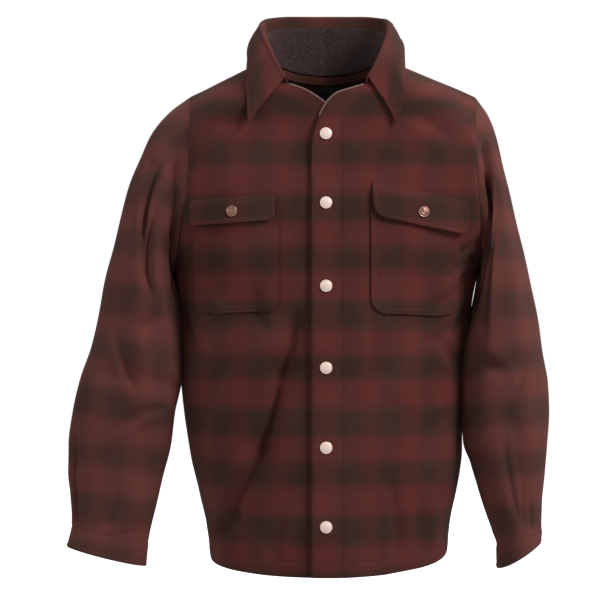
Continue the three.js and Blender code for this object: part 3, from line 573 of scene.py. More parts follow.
plaid = plaidWool("plaidWool", plaidLook)
# The same cloth again for the sleeves, with the painted sheen in its colours.
sleevePlaidPaintedSheen = plaidWool("sleevePlaidPaintedSheen", sleeveSheenLook)
darkPile = fineCloth("darkPile", colour(40, 30, 30), colour(66, 52, 52), 420.0, 0.0012,
                     {"Roughness": 0.97, "Sheen Weight": 0.6, "Sheen Roughness": 0.5,
                      "Sheen Tint": colour(140, 120, 120), "Specular IOR Level": 0.1})
# A pale finish for the neck edge's rib: a painted highlight along the folded edge.
paintedHighlightEdge = fineCloth("paintedHighlightEdge", colour(96, 66, 60), colour(118, 86, 78), 700.0, 0.0004,
                       {"Roughness": 0.9, "Sheen Weight": 0.3})
thread = fineCloth("thread", colour(58, 32, 28), colour(74, 42, 37), 2500.0, 0.0001,
                   {"Roughness": 0.6, "Sheen Weight": 0.2})
labelBlack = fineCloth("labelBlack", colour(16, 14, 14), colour(30, 27, 27), 1400.0, 0.0002,
                       {"Roughness": 0.62, "Sheen Weight": 0.1})
palePearl = snapMetal("palePearl", colour(255, 232, 220), colour(244, 206, 192),
                      {"Roughness": 0.22, "Metallic": 0.12, "Coat Weight": 0.5, "Coat Roughness": 0.08})
dullCopper = snapMetal("dullCopper", colour(176, 132, 118), colour(120, 84, 74),
                       {"Roughness": 0.32, "Metallic": 0.85})
print("finishes made")


# Body panels
# Folds run from x, z to x, z with a width and a depth; x is counted out from the middle.
frontFolds = {
    "left": [
        (41, -352, 62, -418, 15, -6),
        (62, -418, 90, -522, 17, -9),
        (90, -522, 128, -612, 18, -9),
        (84, -384, 122, -545, 24, 5),
    ],
    "right": [
        (92, -470, 104, -690, 24, -5),
        (150, -330, 128, -450, 20, -4),
    ],
}
frontCreases = {
    "left": [
        (40, -345, 70, -432, 6, -3.5, -1),
        (66, -418, 94, -522, 7, -5, -1),
        (88, -505, 130, -600, 8, -5, -1),
        (122, -585, 150, -655, 8, -3.5, -1),
        (150, -420, 168, -520, 7, -2.5, 1),
        (96, -300, 80, -372, 8, -2, 1),
        (176, -300, 150, -352, 7, -3, 1),
        (196, -330, 168, -410, 6, -2.6, 1),
        (58, -600, 70, -685, 9, -2.4, 1),
        (150, -90, 96, -64, 10, -2.2, 1),
    ],
    "right": [
        (196, -285, 150, -330, 7, -3.6, 1),
        (198, -322, 158, -376, 7, -3, 1),
        (178, -410, 150, -372, 8, -2.8, -1),
        (168, -470, 140, -500, 8, -2.4, 1),
        (84, -560, 96, -690, 9, -2.6, 1),
        (130, -590, 138, -680, 8, -2, -1),
        (60, -330, 52, -430, 9, -1.6, 1),
        (176, -110, 110, -66, 10, -2.2, -1),
    ],
}
# Pinches at the armhole's seam, beside the underarm
frontPinches = {
    "left": [(208, -262, 186, -250, 5, -2.6), (206, -278, 182, -270, 5, -2.4)],
    "right": [
        (208, -244, 184, -258, 5, -4.2),
        (207, -262, 180, -279, 5, -4.4),
        (205, -280, 184, -296, 6, -2.4),
    ],
}
backFolds = [
    (-118, -250, -96, -640, 26, -7),
    (112, -230, 88, -560, 26, -6),
    (20, -460, 6, -690, 30, 6),
]
backCreases = [
    (-180, -300, -128, -372, 8, -4, 1),
    (-150, -420, -120, -560, 10, -3.4, 1),
    (-90, -150, -60, -230, 12, -2.4, 1),
    (176, -296, 120, -380, 8, -4, -1),
    (140, -430, 104, -520, 9, -3.2, -1),
    (60, -380, 44, -480, 11, -2.6, 1),
    (-40, -520, -52, -680, 11, -3, 1),
    (100, -590, 112, -684, 10, -2.8, -1),
    (150, -120, 90, -96, 12, -2.4, 1),
    (-150, -112, -96, -90, 12, -2.2, -1),
]


def sideSeam(side, level):
    z = mixed(side["hemZ"], body["underarmZ"], level)
    x = readTable(side["seam"], "z", "x", z)
    return np.stack([x, np.full_like(x, body["underarmY"]), z], -1)


def armhole(side, at, back):
    return readPoint(side["armhole"], at, ("x", "yBack" if back else "yFront", "z"))


# One level of the body: flat across the middle and turning back towards the side.
def archBetween(inner, outer, start, u):
    angle = mixed(start, math.pi / 2, u)
    across = (np.sin(angle) - np.sin(start)) / (1 - np.sin(start))
    fall = np.maximum(0, np.cos(angle)) ** body["fullness"]
    turn = 1 - fall / np.cos(start) ** body["fullness"]
    rise = (angle ** 2 - start ** 2) / ((math.pi / 2) ** 2 - start ** 2)
    shares = np.stack([across, turn, rise], -1)
    return mixed(inner, outer, shares)


def lowMiddle(side, level, back, edgeX):
    outer = sideSeam(side, level)
    z = mixed(body["hemBackZ"] if back else body["hemFrontZ"], body["centreAtUnderarmZ"], level)
    depths, sign = (backDepths, 1) if back else (frontDepths, -1)
    depth = sign * readTable(depths, "z", "depth", z)
    start = np.arcsin(edgeX / outer[..., 0])
    y = mixed(outer[..., 1], depth, np.cos(start) ** body["fullness"])
    return np.stack([np.full_like(y, edgeX), y, z], -1), outer, start


def lowerLevels(side, level, back, edgeX, u):
    inner, outer, start = lowMiddle(side, level, back, edgeX)
    return archBetween(inner[:, None], outer[:, None], start[:, None], u[None, :])


# Above the underarm the arch is bent towards the shoulder seam and neck as it nears them.
def upperLevels(top, inner, outer, start, w, u):
    shape = archBetween(inner[:, None], outer[:, None], start, u[None, :])
    plain = archBetween(top(np.array([0.0])), top(np.array([1.0])), start, u)
    return shape + (w ** 2)[:, None, None] * (top(u) - plain)[None]


def frontBase(side, edge, u, v):
    edgeX = edge["x"][0]
    low = lowerLevels(side, v[v <= 1], False, edgeX, u)
    w = v[v > 1] - 1
    lowInner, _, start = lowMiddle(side, np.array([1.0]), False, edgeX)
    shift = lowInner[0] - readPoint(edge, np.array([0.0]))[0]
    inner = readPoint(edge, w) + ((1 - w) ** 2)[:, None] * shift
    neck = readPoint(edge, np.array([1.0]))[0]
    shoulder = armhole(side, np.array([1.0]), False)[0]

    def top(s):
        return mixed(neck, shoulder, s[:, None])
    high = upperLevels(top, inner, armhole(side, w, False), float(start[0]), w, u)
    return np.concatenate([low, high])


def backBase(side, u, v):
    low = lowerLevels(side, v[v <= 1], True, 0, u)
    w = v[v > 1] - 1
    y, z = readTable(backMiddle, "at", "y", w), readTable(backMiddle, "at", "z", w)
    inner = np.stack([np.zeros_like(w), y, z], -1)
    shoulder = armhole(side, np.array([1.0]), True)[0]
    share = body["backNeckShare"]
    neckSide = readPoint(backNeck, np.array([1.0]))[0]

    def top(s):
        onNeck = readPoint(backNeck, s / share)
        past = mixed(neckSide, shoulder, ((s - share) / (1 - share))[:, None])
        return np.where((s < share)[:, None], onNeck, past)
    high = upperLevels(top, inner, armhole(side, w, True), 0.0, w, u)
    return np.concatenate([low, high])


# The direction across the armhole joint, into the body.
def armholeInward(side, at, back):
    step = 1 / 11
    here = armhole(side, at, back)
    along = armhole(side, np.minimum(1, at + step), back) - armhole(side, np.maximum(0, at - step), back)
    along = np.where((at > 0.999)[:, None], np.array([0.0, 1.0, 0.0]), along)
    middle = np.stack([here[:, 0], np.full(len(at), 6.0 if back else -6.0), np.full(len(at), -160.0)], -1)
    outward = (here - middle) * np.array([0, 1, 1])
    inward = unit(np.cross(along, unit(outward)))
    inward = inward * np.where(inward[:, :1] > 0, -1, 1)
    inward[at < 0.001] = (-1, 0, 0)
    return inward


def turned(points, side):
    return points * np.array([side["sign"], 1, 1])


def panelMasks(side, base, v, back, outerColumn):
    rows, columns = base.shape[:2]
    forward = np.array([0, 1.0 if back else -1.0, 0])
    topMask = np.zeros((rows, columns), bool)
    topMask[-1] = True
    sideMask = np.zeros((rows, columns), bool)
    armMask = np.zeros((rows, columns), bool)
    inward = np.zeros((rows, columns, 3))
    sideMask[v <= 1.001, outerColumn] = True
    armMask[v > 0.999, outerColumn] = True
    inward[:, outerColumn] = turned(armholeInward(side, np.maximum(0, v - 1), back), side)
    return [(topMask, base, forward), (sideMask, base, forward), (armMask, base, inward)]


# Cloth coordinates: across along the rows, and up as height below the underarm, then along the
# cloth of a middle column, so that the bands stay level.
def clothCoords(points, v, firstAcross):
    across = arcAlong(points, 1) + firstAcross
    up = arcAlong(points, 0)
    level = int(np.argmin(np.abs(v - 1)))
    middle = points.shape[1] * 2 // 5
    low = points[..., 2]
    climb = up[:, [middle]] - up[level, middle]
    high = low[level, middle] + climb + low - low[:, [middle]]
    return np.stack([across, np.where((v <= 1)[:, None], low, high)], -1)


def calmEdges(u, v):
    return eased(0, 0.12, 1 - np.abs(u))[None, :] * eased(0, 0.3, 2 - v)[:, None]


levels = np.unique(np.round(np.concatenate([
    placesAlong(body["belowUnderarm"], body["pitch"], [body["hemStitch"]]),
    1 + placesAlong(body["aboveUnderarm"], body["pitch"]),
]), 6))


def frontPanel(name, nodeName, edge, lift):
    side = sides[name]
    u = placesAlong(body["frontAcross"], body["pitch"], [body["edgeStitch"]])
    base = frontBase(side, edge, u, levels)
    coords = clothCoords(base, levels, edge["x"][0])
    x, z = base[..., 0], base[..., 2]
    depth = sum(foldDepth(x, z, fold) for fold in frontFolds[name])
    depth = depth + sum(creaseDepth(x, z, crease) for crease in frontCreases[name])
    depth = depth * calmEdges(u, levels) + 0.45 * unevenness(x, z, 3 + side["sign"], 70)
    pinched = sum(foldDepth(x, z, pinch) for pinch in frontPinches[name])
    depth = depth + pinched * eased(0, 0.04, 1 - u)[None, :]
    overlap = lift * (1 - eased(body["overlapFullX"], body["overlapEndX"], x))
    across = arcAlong(base, 1)
    up = arcAlong(base, 0)
    relief = edgeRelief(up, body["hemStitch"]) + edgeRelief(up[-1:] - up, "seam")
    relief = relief + 0.5 * edgeRelief(across[:, -1:] - across, "seam")
    folded = base + gridNormals(base) * (depth + overlap + relief)[..., None]
    points = turned(folded, side)
    joint = turned(base, side)
    coords = coords * np.array([side["sign"], 1])
    if side["sign"] < 0:
        points, joint, coords = points[:, ::-1], joint[:, ::-1], coords[:, ::-1]
    outerColumn = -1 if side["sign"] > 0 else 0
    masks = panelMasks(side, joint, levels, False, outerColumn)
    return clothWall(f"{name}Front", nodeName, "plaid_wool", points.copy(), coords, body["wall"],
                     cutSize(base), plaid, keepOff=masks)


def backPanel():
    half = placesAlong(body["backAcross"], body["pitch"])
    half = half[(half == 0) | (half > 0.02)]
    right = backBase(sides["right"], half, levels)
    left = turned(backBase(sides["left"], half, levels), sides["left"])
    base = np.concatenate([right[:, ::-1], left[:, 1:]], 1)
    u = np.concatenate([half[::-1], -half[1:]])
    rightCoords = clothCoords(right, levels, 0)[:, ::-1]
    leftCoords = (clothCoords(left, levels, 0) * np.array([-1, 1]))[:, 1:]
    coords = np.concatenate([rightCoords, leftCoords], 1)
    x, z = base[..., 0], base[..., 2]
    depth = sum(foldDepth(x, z, fold) for fold in backFolds)
    depth = depth + sum(creaseDepth(x, z, crease) for crease in backCreases)
    depth = depth * calmEdges(u, levels) + 0.5 * unevenness(x, z, 8, 80)
    across, up = arcAlong(base, 1), arcAlong(base, 0)
    shoulder = np.abs(u)[None, :] > body["backNeckShare"]
    relief = edgeRelief(up, body["hemStitch"]) + shoulder * edgeRelief(up[-1:] - up, "seam")
    relief = relief + 0.5 * (edgeRelief(across, "seam") + edgeRelief(across[:, -1:] - across, "seam"))
    points = base + gridNormals(base) * (depth + relief)[..., None]
    rightMasks = panelMasks(sides["right"], base, levels, True, 0)
    leftMasks = panelMasks(sides["left"], base, levels, True, -1)
    neck = np.abs(u) < body["backNeckShare"]
    masks = []
    for mask, origin, direction in rightMasks + leftMasks:
        # The top row is pushed at the shoulder seams only, not along the neck between them.
        if mask[-1].all():
            mask[-1, neck] = False
        masks.append((mask, origin, direction))
    return clothWall("backCloth", "back", "plaid_wool", points, coords, body["wall"], cutSize(base),
                     plaid, keepOff=masks)


leftFront = frontPanel("left", "front_left", underEdge, 0)
rightFront = frontPanel("right", "front_right", lappingEdge, body["overlapLift"])
backCloth = backPanel()
print("body panels made")


# Sleeves and cuffs
# Sections from the armhole down: outer and inner edge of the arm seen from the front,
# the middle's y, and the half depth front to back.
sleeves = {
    "left": {
        "at": list(range(18)),
        "outX": [190, 219, 245, 260, 273, 284, 295, 307, 315, 326, 340, 351, 357, 357, 353, 351, 351, 357],
        "outZ": [-38, -60, -92, -126, -160, -202, -248, -294, -339, -386, -428, -476, -521, -557, -591,
                 -618, -634, -660],
        "inX": [213, 217, 215, 212, 210, 208, 206, 204, 203, 205, 208, 211, 215, 224, 234, 242, 245, 248],
        "inZ": [-283, -295, -310, -324, -338, -355, -377, -401, -427, -452, -475, -498, -527, -563, -605,
                -638, -657, -687],
        "y": [7, 4, -2, -9, -15, -20, -24, -27, -29, -30, -32, -34, -37, -40, -43, -46, -48, -56],
        "depth": [93, 86, 80, 76, 72, 68, 65, 62, 59, 55, 51, 47, 43, 40, 37, 35, 34, 33],
    },
    "right": {
        "at": list(range(18)),
        "outX": [209, 228, 239, 247, 256, 266, 276, 286, 294, 300, 307, 309, 306, 302, 297, 297, 297, 295],
        "outZ": [-38, -66, -98, -137, -176, -221, -263, -311, -353, -395, -437, -476, -518, -560, -602,
                 -624, -637, -653],
        "inX": [213, 216, 213, 207, 202, 198, 194, 192, 190, 190, 190, 193, 199, 209, 221, 229, 235, 235],
        "inZ": [-283, -298, -316, -335, -356, -376, -397, -419, -442, -466, -490, -517, -545, -579, -617,
                -642, -661, -690],
        "y": [7, 4, -3, -11, -18, -24, -28, -31, -33, -34, -35, -37, -39, -41, -43, -45, -47, -53],
        "depth": [92, 86, 81, 77, 73, 69, 66, 63, 61, 59, 57, 56, 55, 54, 54, 53, 53, 53],
    },
}
sleeveSizes = {
    "cuffStartsAt": 16,
    "cuffEndsAt": 17,
    "armholeFadesAt": 3.4,
    "step": 34,
    "degree": 1.25,
    "cuffProud": 0.5,
    "cuffStitch": 6,
    "ringCount": 118,
    "sectionLength": 36,
    "meanRadius": 60,
    "clothTop": -160,
}

# Folds run from section number, degrees round (0 outside, 90 in front) to the same.
sleeveFolds = {
    "left": [
        (0.9, 62, 1.1, 150, 13, -9),
        (2.2, 48, 5.2, 88, 15, -7),
        (8, 96, 10.5, 112, 16, 5),
        (8.6, 150, 9.6, 60, 15, -5),
        (11.8, 28, 15.2, 24, 14, -6),
        (9.5, 262, 10.6, 200, 16, -6),
        (3, 290, 6, 265, 17, -6),
    ],
    "right": [
        (0.8, 48, 2.8, 150, 14, -11),
        (7.4, 150, 8.8, 70, 16, -5),
        (10.6, 90, 14.6, 74, 15, -5),
        (9.2, 262, 10.6, 200, 16, -6),
        (3, 290, 6, 265, 17, -6),
    ],
}

# The sleeve swells towards the body where the two lie against each other.
sleeveSwell = {
    "left": {"at": [0, 1, 2, 3, 4, 5, 6, 7, 8, 9, 10], "by": [0, 2, 7, 8, 8, 7.4, 6.2, 5, 3.6, 1.6, 0]},
    "right": {"at": [0, 1, 2, 3, 4, 5, 6, 7, 8, 9, 10, 11, 12],
              "by": [0, 2, 5.4, 3.4, 3, 4.4, 4.6, 4.2, 3, 2, 2.4, 4, 0]},
    "degrees": 36,
}
sleeveCreases = {
    "left": [
        (1.5, 52, 4.6, 72, 7, -4.6, 1),
        (2.4, 84, 5.6, 104, 7, -4.8, -1),
        (0.8, 110, 3.2, 150, 7, -4, 1),
        (5.4, 128, 7.4, 92, 8, -2.4, 1),
        (8.2, 60, 10, 104, 8, -2.8, 1),
        (10, 140, 11.4, 84, 8, -2.6, -1),
        (12, 34, 15.4, 30, 7, -3.2, -1),
        (13.2, 96, 15.4, 84, 8, -2.2, 1),
        (14.4, 130, 15.6, 120, 7, -2, 1),
        (4, 250, 6.6, 216, 9, -3, 1),
        (8.4, 284, 10, 240, 9, -3.4, 1),
        (10.2, 296, 11.6, 232, 8, -2.8, -1),
        (13, 262, 15.4, 280, 8, -2.4, 1),
        (6.4, 330, 9, 318, 10, -2, 1),
    ],
    "right": [
        (0.6, 60, 3.4, 110, 7, -4.6, 1),
        (1.4, 118, 3.6, 160, 7, -4.6, -1),
        (3.2, 96, 6.4, 118, 7, -3.8, 1),
        (6.8, 132, 8.8, 88, 8, -2.6, 1),
        (9.2, 64, 10.8, 118, 8, -2.6, -1),
        (11, 100, 14.4, 88, 8, -2.6, 1),
        (13.6, 60, 15.6, 66, 7, -2.2, -1),
        (4, 250, 6.6, 216, 9, -3, 1),
        (8.4, 284, 10, 240, 9, -3.4, 1),
        (12.4, 250, 14.6, 268, 8, -2.6, -1),
    ],
}


# Points of a sleeve: rows by section from low to high, columns round from the seam under the arm,
# over the front, the outside and the back. degrees: 0 outside, 90 in front, 180 at the seam.
def sleevePoints(name, at, degrees):
    side, table = sides[name], sleeves[name]
    sectionAt, turn = at[:, None], np.radians(degrees)[None, :]

    def ellipse(level):
        def read(key):
            return readTable(table, "at", key, level)
        out = np.stack([read("outX"), read("y"), read("outZ")], -1)
        inn = np.stack([read("inX"), read("y"), read("inZ")], -1)
        middle, reach = (out + inn) / 2, (out - inn) / 2
        flat = middle + reach * np.cos(turn)[..., None]
        flat[..., 1] -= (read("depth") * np.sin(turn))
        return flat, middle
    section, middle = ellipse(np.broadcast_to(sectionAt, (len(at), len(degrees))))
    first = ellipse(np.zeros((1, len(degrees))))[0][0]
    back = degrees > 180
    armAt = np.where(back, (degrees - 180) / 180, (180 - degrees) / 180)
    hole = np.where(back[:, None], armhole(side, armAt, True), armhole(side, armAt, False))
    fade = 1 - eased(0, sleeveSizes["armholeFadesAt"], sectionAt)
    return section + (hole - first)[None] * fade[..., None], middle, armAt, back


def sleeveCloth(name, low, high, proud, nodeName, objName, relief):
    side = sides[name]
    length = sleeveSizes["sectionLength"] * (low - high)
    share = placesAlong(length, body["pitch"], relief["lines"])
    at = low + (high - low) * share
    count = sleeveSizes["ringCount"]
    # Columns run so that, seen from outside, they go towards the viewer's right.
    ring = np.arange(count) / count * 360 + 180
    degrees = ring % 360 if side["sign"] < 0 else (360 - ring % 360) % 360
    base, middle, armAt, back = sleevePoints(name, at, degrees)
    p = at[:, None] * sleeveSizes["step"]
    q = degrees[None, :] * sleeveSizes["degree"]
    scales = (sleeveSizes["step"], sleeveSizes["degree"])
    depth = sum(foldDepth(p, q, fold, *scales) for fold in sleeveFolds[name])
    depth = depth + sum(creaseDepth(p, q, crease, *scales) for crease in sleeveCreases[name])
    calm = eased(0, 0.7, at) * eased(0, 0.8, sleeveSizes["cuffStartsAt"] - at)
    depth = depth * calm[:, None]
    swell = readTable(sleeveSwell[name], "at", "by", at)[:, None]
    depth = depth + swell * np.exp(-(((degrees - 180) / sleeveSwell["degrees"]) ** 2))[None, :]
    around = np.radians(degrees)[None, :]
    radius = sleeveSizes["meanRadius"]
    waves = unevenness(p + radius * np.cos(around), radius * np.sin(around), 21 + side["sign"], 75)
    depth = depth + 0.5 * waves * eased(0, 1, at)[:, None]
    placed = turned(base, side)
    normals = gridNormals(placed, True)
    up = arcAlong(placed, 0)
    fromSeam = np.abs(degrees - 180) * math.pi * radius / 180
    depth = depth + edgeRelief(up, relief["low"]) + relief["highShare"] * edgeRelief(up[-1:] - up, "seam")
    depth = depth + 0.6 * edgeRelief(fromSeam, "seam")[None, :]
    points = placed + normals * (depth + proud)[..., None]

    # Cloth coordinates: round from the outside, and along the sleeve square to its middle line.
    centre = turned(middle, side)[:, 0]
    tangent = unit(np.gradient(centre, axis=0))
    along = arcAlong(centre[:, None], 0)[:, 0]
    upCoord = along[:, None] + ((placed - centre[:, None]) * tangent[:, None]).sum(-1)
    closed = np.concatenate([placed, placed[:, :1]], 1)
    acrossCoord = arcAlong(closed, 1)
    outside = int(np.argmin(np.abs(((degrees + 180) % 360) - 180)))
    acrossCoord = acrossCoord - acrossCoord[:, outside:outside + 1]
    upCoord = np.concatenate([upCoord, upCoord[:, :1]], 1)
    upCoord = upCoord - along[-1] + relief["coordTop"]
    coords = np.stack([acrossCoord, upCoord], -1)
    topMask = np.zeros(placed.shape[:2], bool)
    topMask[-1] = True
    if high == 0:
        inward = np.where(back[:, None], armholeInward(side, armAt, True), armholeInward(side, armAt, False))
        masks = [(topMask, placed, np.broadcast_to(-turned(inward, side), placed.shape)),
                 (topMask[::-1], placed, np.array([0.0, 0, 1]))]
    else:
        masks = [(topMask, placed, np.array([0.0, 0, -1]))]
    made = clothWall(objName, nodeName, "plaid_wool", points, coords, body["wall"] + proud,
                     cutSize(placed, True), sleevePlaidPaintedSheen, wrap=True, keepOff=masks)
    made["length"] = along[-1]
    return made


sleeveCloths, cuffCloths = {}, {}
for name in ("left", "right"):
    sleeveCloths[name] = sleeveCloth(
        name, sleeveSizes["cuffStartsAt"], 0, 0, f"sleeve_{name}", f"{name}Sleeve",
        {"lines": [], "low": "seam", "highShare": 0.4, "coordTop": sleeveSizes["clothTop"]})
    cuffCloths[name] = sleeveCloth(
        name, sleeveSizes["cuffEndsAt"], sleeveSizes["cuffStartsAt"], sleeveSizes["cuffProud"],
        f"cuff_{name}", f"{name}Cuff",
        {"lines": [sleeveSizes["cuffStitch"]], "low": sleeveSizes["cuffStitch"], "highShare": 1,
         "coordTop": sleeveSizes["clothTop"] - sleeveCloths[name]["length"]})
print("sleeves made")


# Collar
collarHalf = {
    "at": [0, 0.12, 0.26, 0.42, 0.6, 0.72, 0.86, 1],
    "foldX": [54, 63, 73, 82, 85, 77, 47, 0],
    "foldY": [-97, -84, -62, -33, 4, 38, 67, 79],
    "foldZ": [-21, -4, 18, 42, 61, 72, 78, 80],
    "edgeX": [106, 108, 109, 110, 109, 103, 72, 0],
    "edgeY": [-109, -103, -91, -52, 4, 48, 92, 111],
    "edgeZ": [-85, -61, -33, -3, 9, 5, -3, -8],
    "roll": [2.6, 3, 4, 4.6, 5, 5, 5, 5],
    "bow": [2.5, 3, 4.5, 6, 7, 5, 3, 2.5],
    "tuck": [11, 7, 3, 1, 0, 0, 0, 0],
}
collarSizes = {
    "startsAt": 0.8,
    "neckPointAt": 0.6,
    "rise": 0.2,
    "standSteps": 20,
    "rollSteps": 9,
    "fallSteps": 34,
    "columns": 110,
    "liningWall": 1.2,
    "liningGap": 1.1,
    "liningFromSeam": 11,
    "liningBelowFold": 13,
    "liningStartsAt": 0.13,
    "fallLength": 75,
    "endToMiddle": 250,
    "stitch": 6,
}


def collarSeam(at):
    share = collarSizes["neckPointAt"]
    front = readPoint(lappingEdge, mixed(collarSizes["startsAt"], 1, np.minimum(1, at / share)))
    behind = readPoint(backNeck, 1 - np.maximum(0, at - share) / (1 - share))
    return np.where((at < share)[:, None], front, behind)


# The collar across: up the stand, over the fold and down to the free edge.
# On the viewer's right the leaf's edge is tucked in towards the middle.
def collarPoints(at, side):
    def read(key):
        return readTable(collarHalf, "at", key, at)
    fold = np.stack([read("foldX"), read("foldY"), read("foldZ")], -1)
    tuck = read("tuck") * (side["sign"] > 0)
    edge = np.stack([read("edgeX") - tuck, read("edgeY"), read("edgeZ")], -1)
    seam = collarSeam(at)
    start = seam + unit(fold - seam) * collarSizes["rise"]
    away = unit((edge - fold) * np.array([1, 1, 0]))
    roll = read("roll")[:, None]
    far = fold + away * 2 * roll
    rows = [mixed(start, fold, i / collarSizes["standSteps"]) for i in range(collarSizes["standSteps"])]
    for i in range(collarSizes["rollSteps"] + 1):
        angle = math.pi * (1 - i / collarSizes["rollSteps"])
        lift = np.array([0, 0, 1]) * roll * math.sin(angle)
        rows.append((fold + far) / 2 + away * roll * math.cos(angle) + lift)
    long = collarSizes["fallLength"]
    fall = placesAlong(long, long / collarSizes["fallSteps"], [long - collarSizes["stitch"]])[1:]
    for t in fall:
        rows.append(mixed(far, edge, t) + away * read("bow")[:, None] * math.sin(math.pi * t))
    return np.stack(rows), start, fold


def bothSides(leftHalf, rightHalf):
    left = turned(leftHalf, sides["left"])
    right = turned(rightHalf, sides["right"])[:, -2::-1]
    return np.concatenate([left, right], 1)


collarPitch = collarSizes["endToMiddle"] / collarSizes["columns"]
collarAt = placesAlong(collarSizes["endToMiddle"], collarPitch, [collarSizes["stitch"]])
collarAt = collarAt[(collarAt < 0.985) | (collarAt == 1)]
collarBase = bothSides(collarPoints(collarAt, sides["left"])[0], collarPoints(collarAt, sides["right"])[0])
collarNormals = gridNormals(collarBase)
collarUp = arcAlong(collarBase, 0)
collarAcross = arcAlong(collarBase, 1)
collarFree = collarUp[-1:] - collarUp
leafOnly = eased(0.42, 0.55, collarUp / collarUp[-1:])
endDistance = np.minimum(collarAcross, collarAcross[:, -1:] - collarAcross)
collarDepth = leafOnly * (edgeRelief(collarFree, collarSizes["stitch"])
                          + edgeRelief(endDistance, collarSizes["stitch"]))
collarWaves = 0.5 * unevenness(collarAcross, collarUp, 31, 60)
collarDepth = collarDepth + collarWaves * leafOnly * eased(0, 20, collarFree)
seamLength = arcAlong(collarBase[:1], 1)
collarU = (seamLength - seamLength[:, -1:] / 2) + np.zeros_like(collarUp)
collarCoords = np.stack([collarU, 20 - collarUp], -1)
collarCloth = clothWall("collarCloth", "collar", "plaid_wool",
                        collarBase + collarNormals * collarDepth[..., None], collarCoords,
                        body["wall"], cutSize(collarBase), plaid)

# The lining lies on the stand's face towards the neck.
liningAt = mixed(collarSizes["liningStartsAt"], 1, np.linspace(0, 1, 84))
_, liningStart, liningFold = collarPoints(liningAt, sides["left"])
liningRun = liningFold - liningStart
liningHeight = np.linalg.norm(liningRun, axis=1, keepdims=True)
liningLow = np.minimum(collarSizes["liningFromSeam"], 0.25 * liningHeight)
liningHigh = liningHeight - np.minimum(collarSizes["liningBelowFold"], 0.3 * liningHeight)
liningRows = [liningStart + unit(liningRun) * mixed(liningLow, liningHigh, t) for t in np.linspace(0, 1, 26)]
liningBase = bothSides(np.stack(liningRows), np.stack(liningRows))
liningNormals = gridNormals(liningBase)
liningAcross, liningUp = arcAlong(liningBase, 1), arcAlong(liningBase, 0)
liningProud = collarSizes["liningGap"] + collarSizes["liningWall"]
liningProud = liningProud + 0.35 * unevenness(liningAcross, liningUp, 41, 22)
clothWall("collarLining", "collar_lining", "dark_pile",
          liningBase + liningNormals * liningProud[..., None],
          np.stack([liningAcross, liningUp], -1), collarSizes["liningWall"], cutSize(liningBase), darkPile)
print("collar made")


# Pieces that lie on a panel
laidSizes = {
    "gap": 0.9,
    "placketWidth": 40,
    "placketWall": 1.6,
    "placketTopZ": -70,
    "placketLength": 622,
    "placketStitch": 3.5,
    "placketFarStitch": 33.5,
    "placketEdgeLift": 1.5,
    "placketEdgeReach": 7,
    "pocketWall": 1.6,
    "pocketGap": 1.7,
    "flapWall": 2.0,
    "flapLift": 3.4,
    "pocketStitches": (2.5, 8.5),
    "flapStitch": 6,
    "pitch": 2.2,
}
pockets = {
    "left": {"x": 122, "top": -203, "height": 136, "width": 114, "corner": 16, "tilt": 0.03},
    "right": {"x": 120, "top": -200, "height": 142, "width": 120, "corner": 22, "tilt": 0.03},
}
flaps = {
    "left": {"x": 127, "top": -183, "height": 35, "width": 115, "corner": 11, "tilt": 0.05},
    "right": {"x": 126, "top": -175, "height": 46, "width": 128, "corner": 17, "tilt": 0.19},
}
label = {"x": 7, "top": -18, "width": 30, "height": 20, "corner": 0.5, "tilt": 0, "wall": 0.8}


# Where lines along y meet a panel: its points, normals and cloth coordinates there.
def pointsOn(panel, x, z, inside=False):
    outer = panel["inner"] if inside else panel["outer"]
    normals = -panel["normals"] if inside else panel["normals"]
    coords = panel["coords"]
    gridX, gridZ = outer[..., 0], outer[..., 2]
    x, z = np.broadcast_arrays(np.asarray(x, float), np.asarray(z, float))
    found = np.empty(x.shape + (2,))
    for index in np.ndindex(x.shape):
        distance = (gridX - x[index]) ** 2 + (gridZ - z[index]) ** 2
        i, j = np.unravel_index(int(np.argmin(distance)), distance.shape)
        i, j = min(max(i, 1), outer.shape[0] - 2), min(max(j, 1), outer.shape[1] - 2)
        # Newton steps on the smooth grid round the nearest corner.
        s, t = float(i), float(j)
        for _ in range(6):
            here = gridAt(outer, s, t)
            ds = gridAt(outer, s + 0.25, t) - gridAt(outer, s - 0.25, t)
            dt = gridAt(outer, s, t + 0.25) - gridAt(outer, s, t - 0.25)
            a, b, c, d = ds[0] * 2, dt[0] * 2, ds[2] * 2, dt[2] * 2
            wrongX, wrongZ = x[index] - here[0], z[index] - here[2]
            area = a * d - b * c
            if abs(area) < 1e-9:
                break
            s += max(-2, min(2, (wrongX * d - b * wrongZ) / area))
            t += max(-2, min(2, (a * wrongZ - wrongX * c) / area))
        found[index] = (s, t)

    def read(grid):
        return np.array([[gridAt(grid, *spot) for spot in row] for row in found])
    return read(outer), unit(read(normals)), read(coords)


def gridAt(grid, s, t):
    i = min(max(int(s), 0), grid.shape[0] - 2)
    j = min(max(int(t), 0), grid.shape[1] - 2)
    a, b = s - i, t - j
    low = grid[i, j] * (1 - b) + grid[i, j + 1] * b
    high = grid[i + 1, j] * (1 - b) + grid[i + 1, j + 1] * b
    return low * (1 - a) + high * a


# A rectangle of cloth with rounded lower corners, its lowest row first.
def patchPlaces(shape, pitch, lines):
    corner, height, width = shape["corner"], shape["height"], shape["width"]
    rows = placesAlong(height, pitch, lines) * height
    columns = placesAlong(width, pitch, lines)
    below = np.maximum(0, corner - rows)
    inset = corner - np.sqrt(np.maximum(0, corner ** 2 - below ** 2))
    across = mixed(-1, 1, columns)[None, :] * (width / 2 - inset)[:, None]
    x = shape["x"] + across
    z = shape["top"] - height + rows[:, None] - shape["tilt"] * across
    return x, z, rows[:, None] + 0 * across, columns


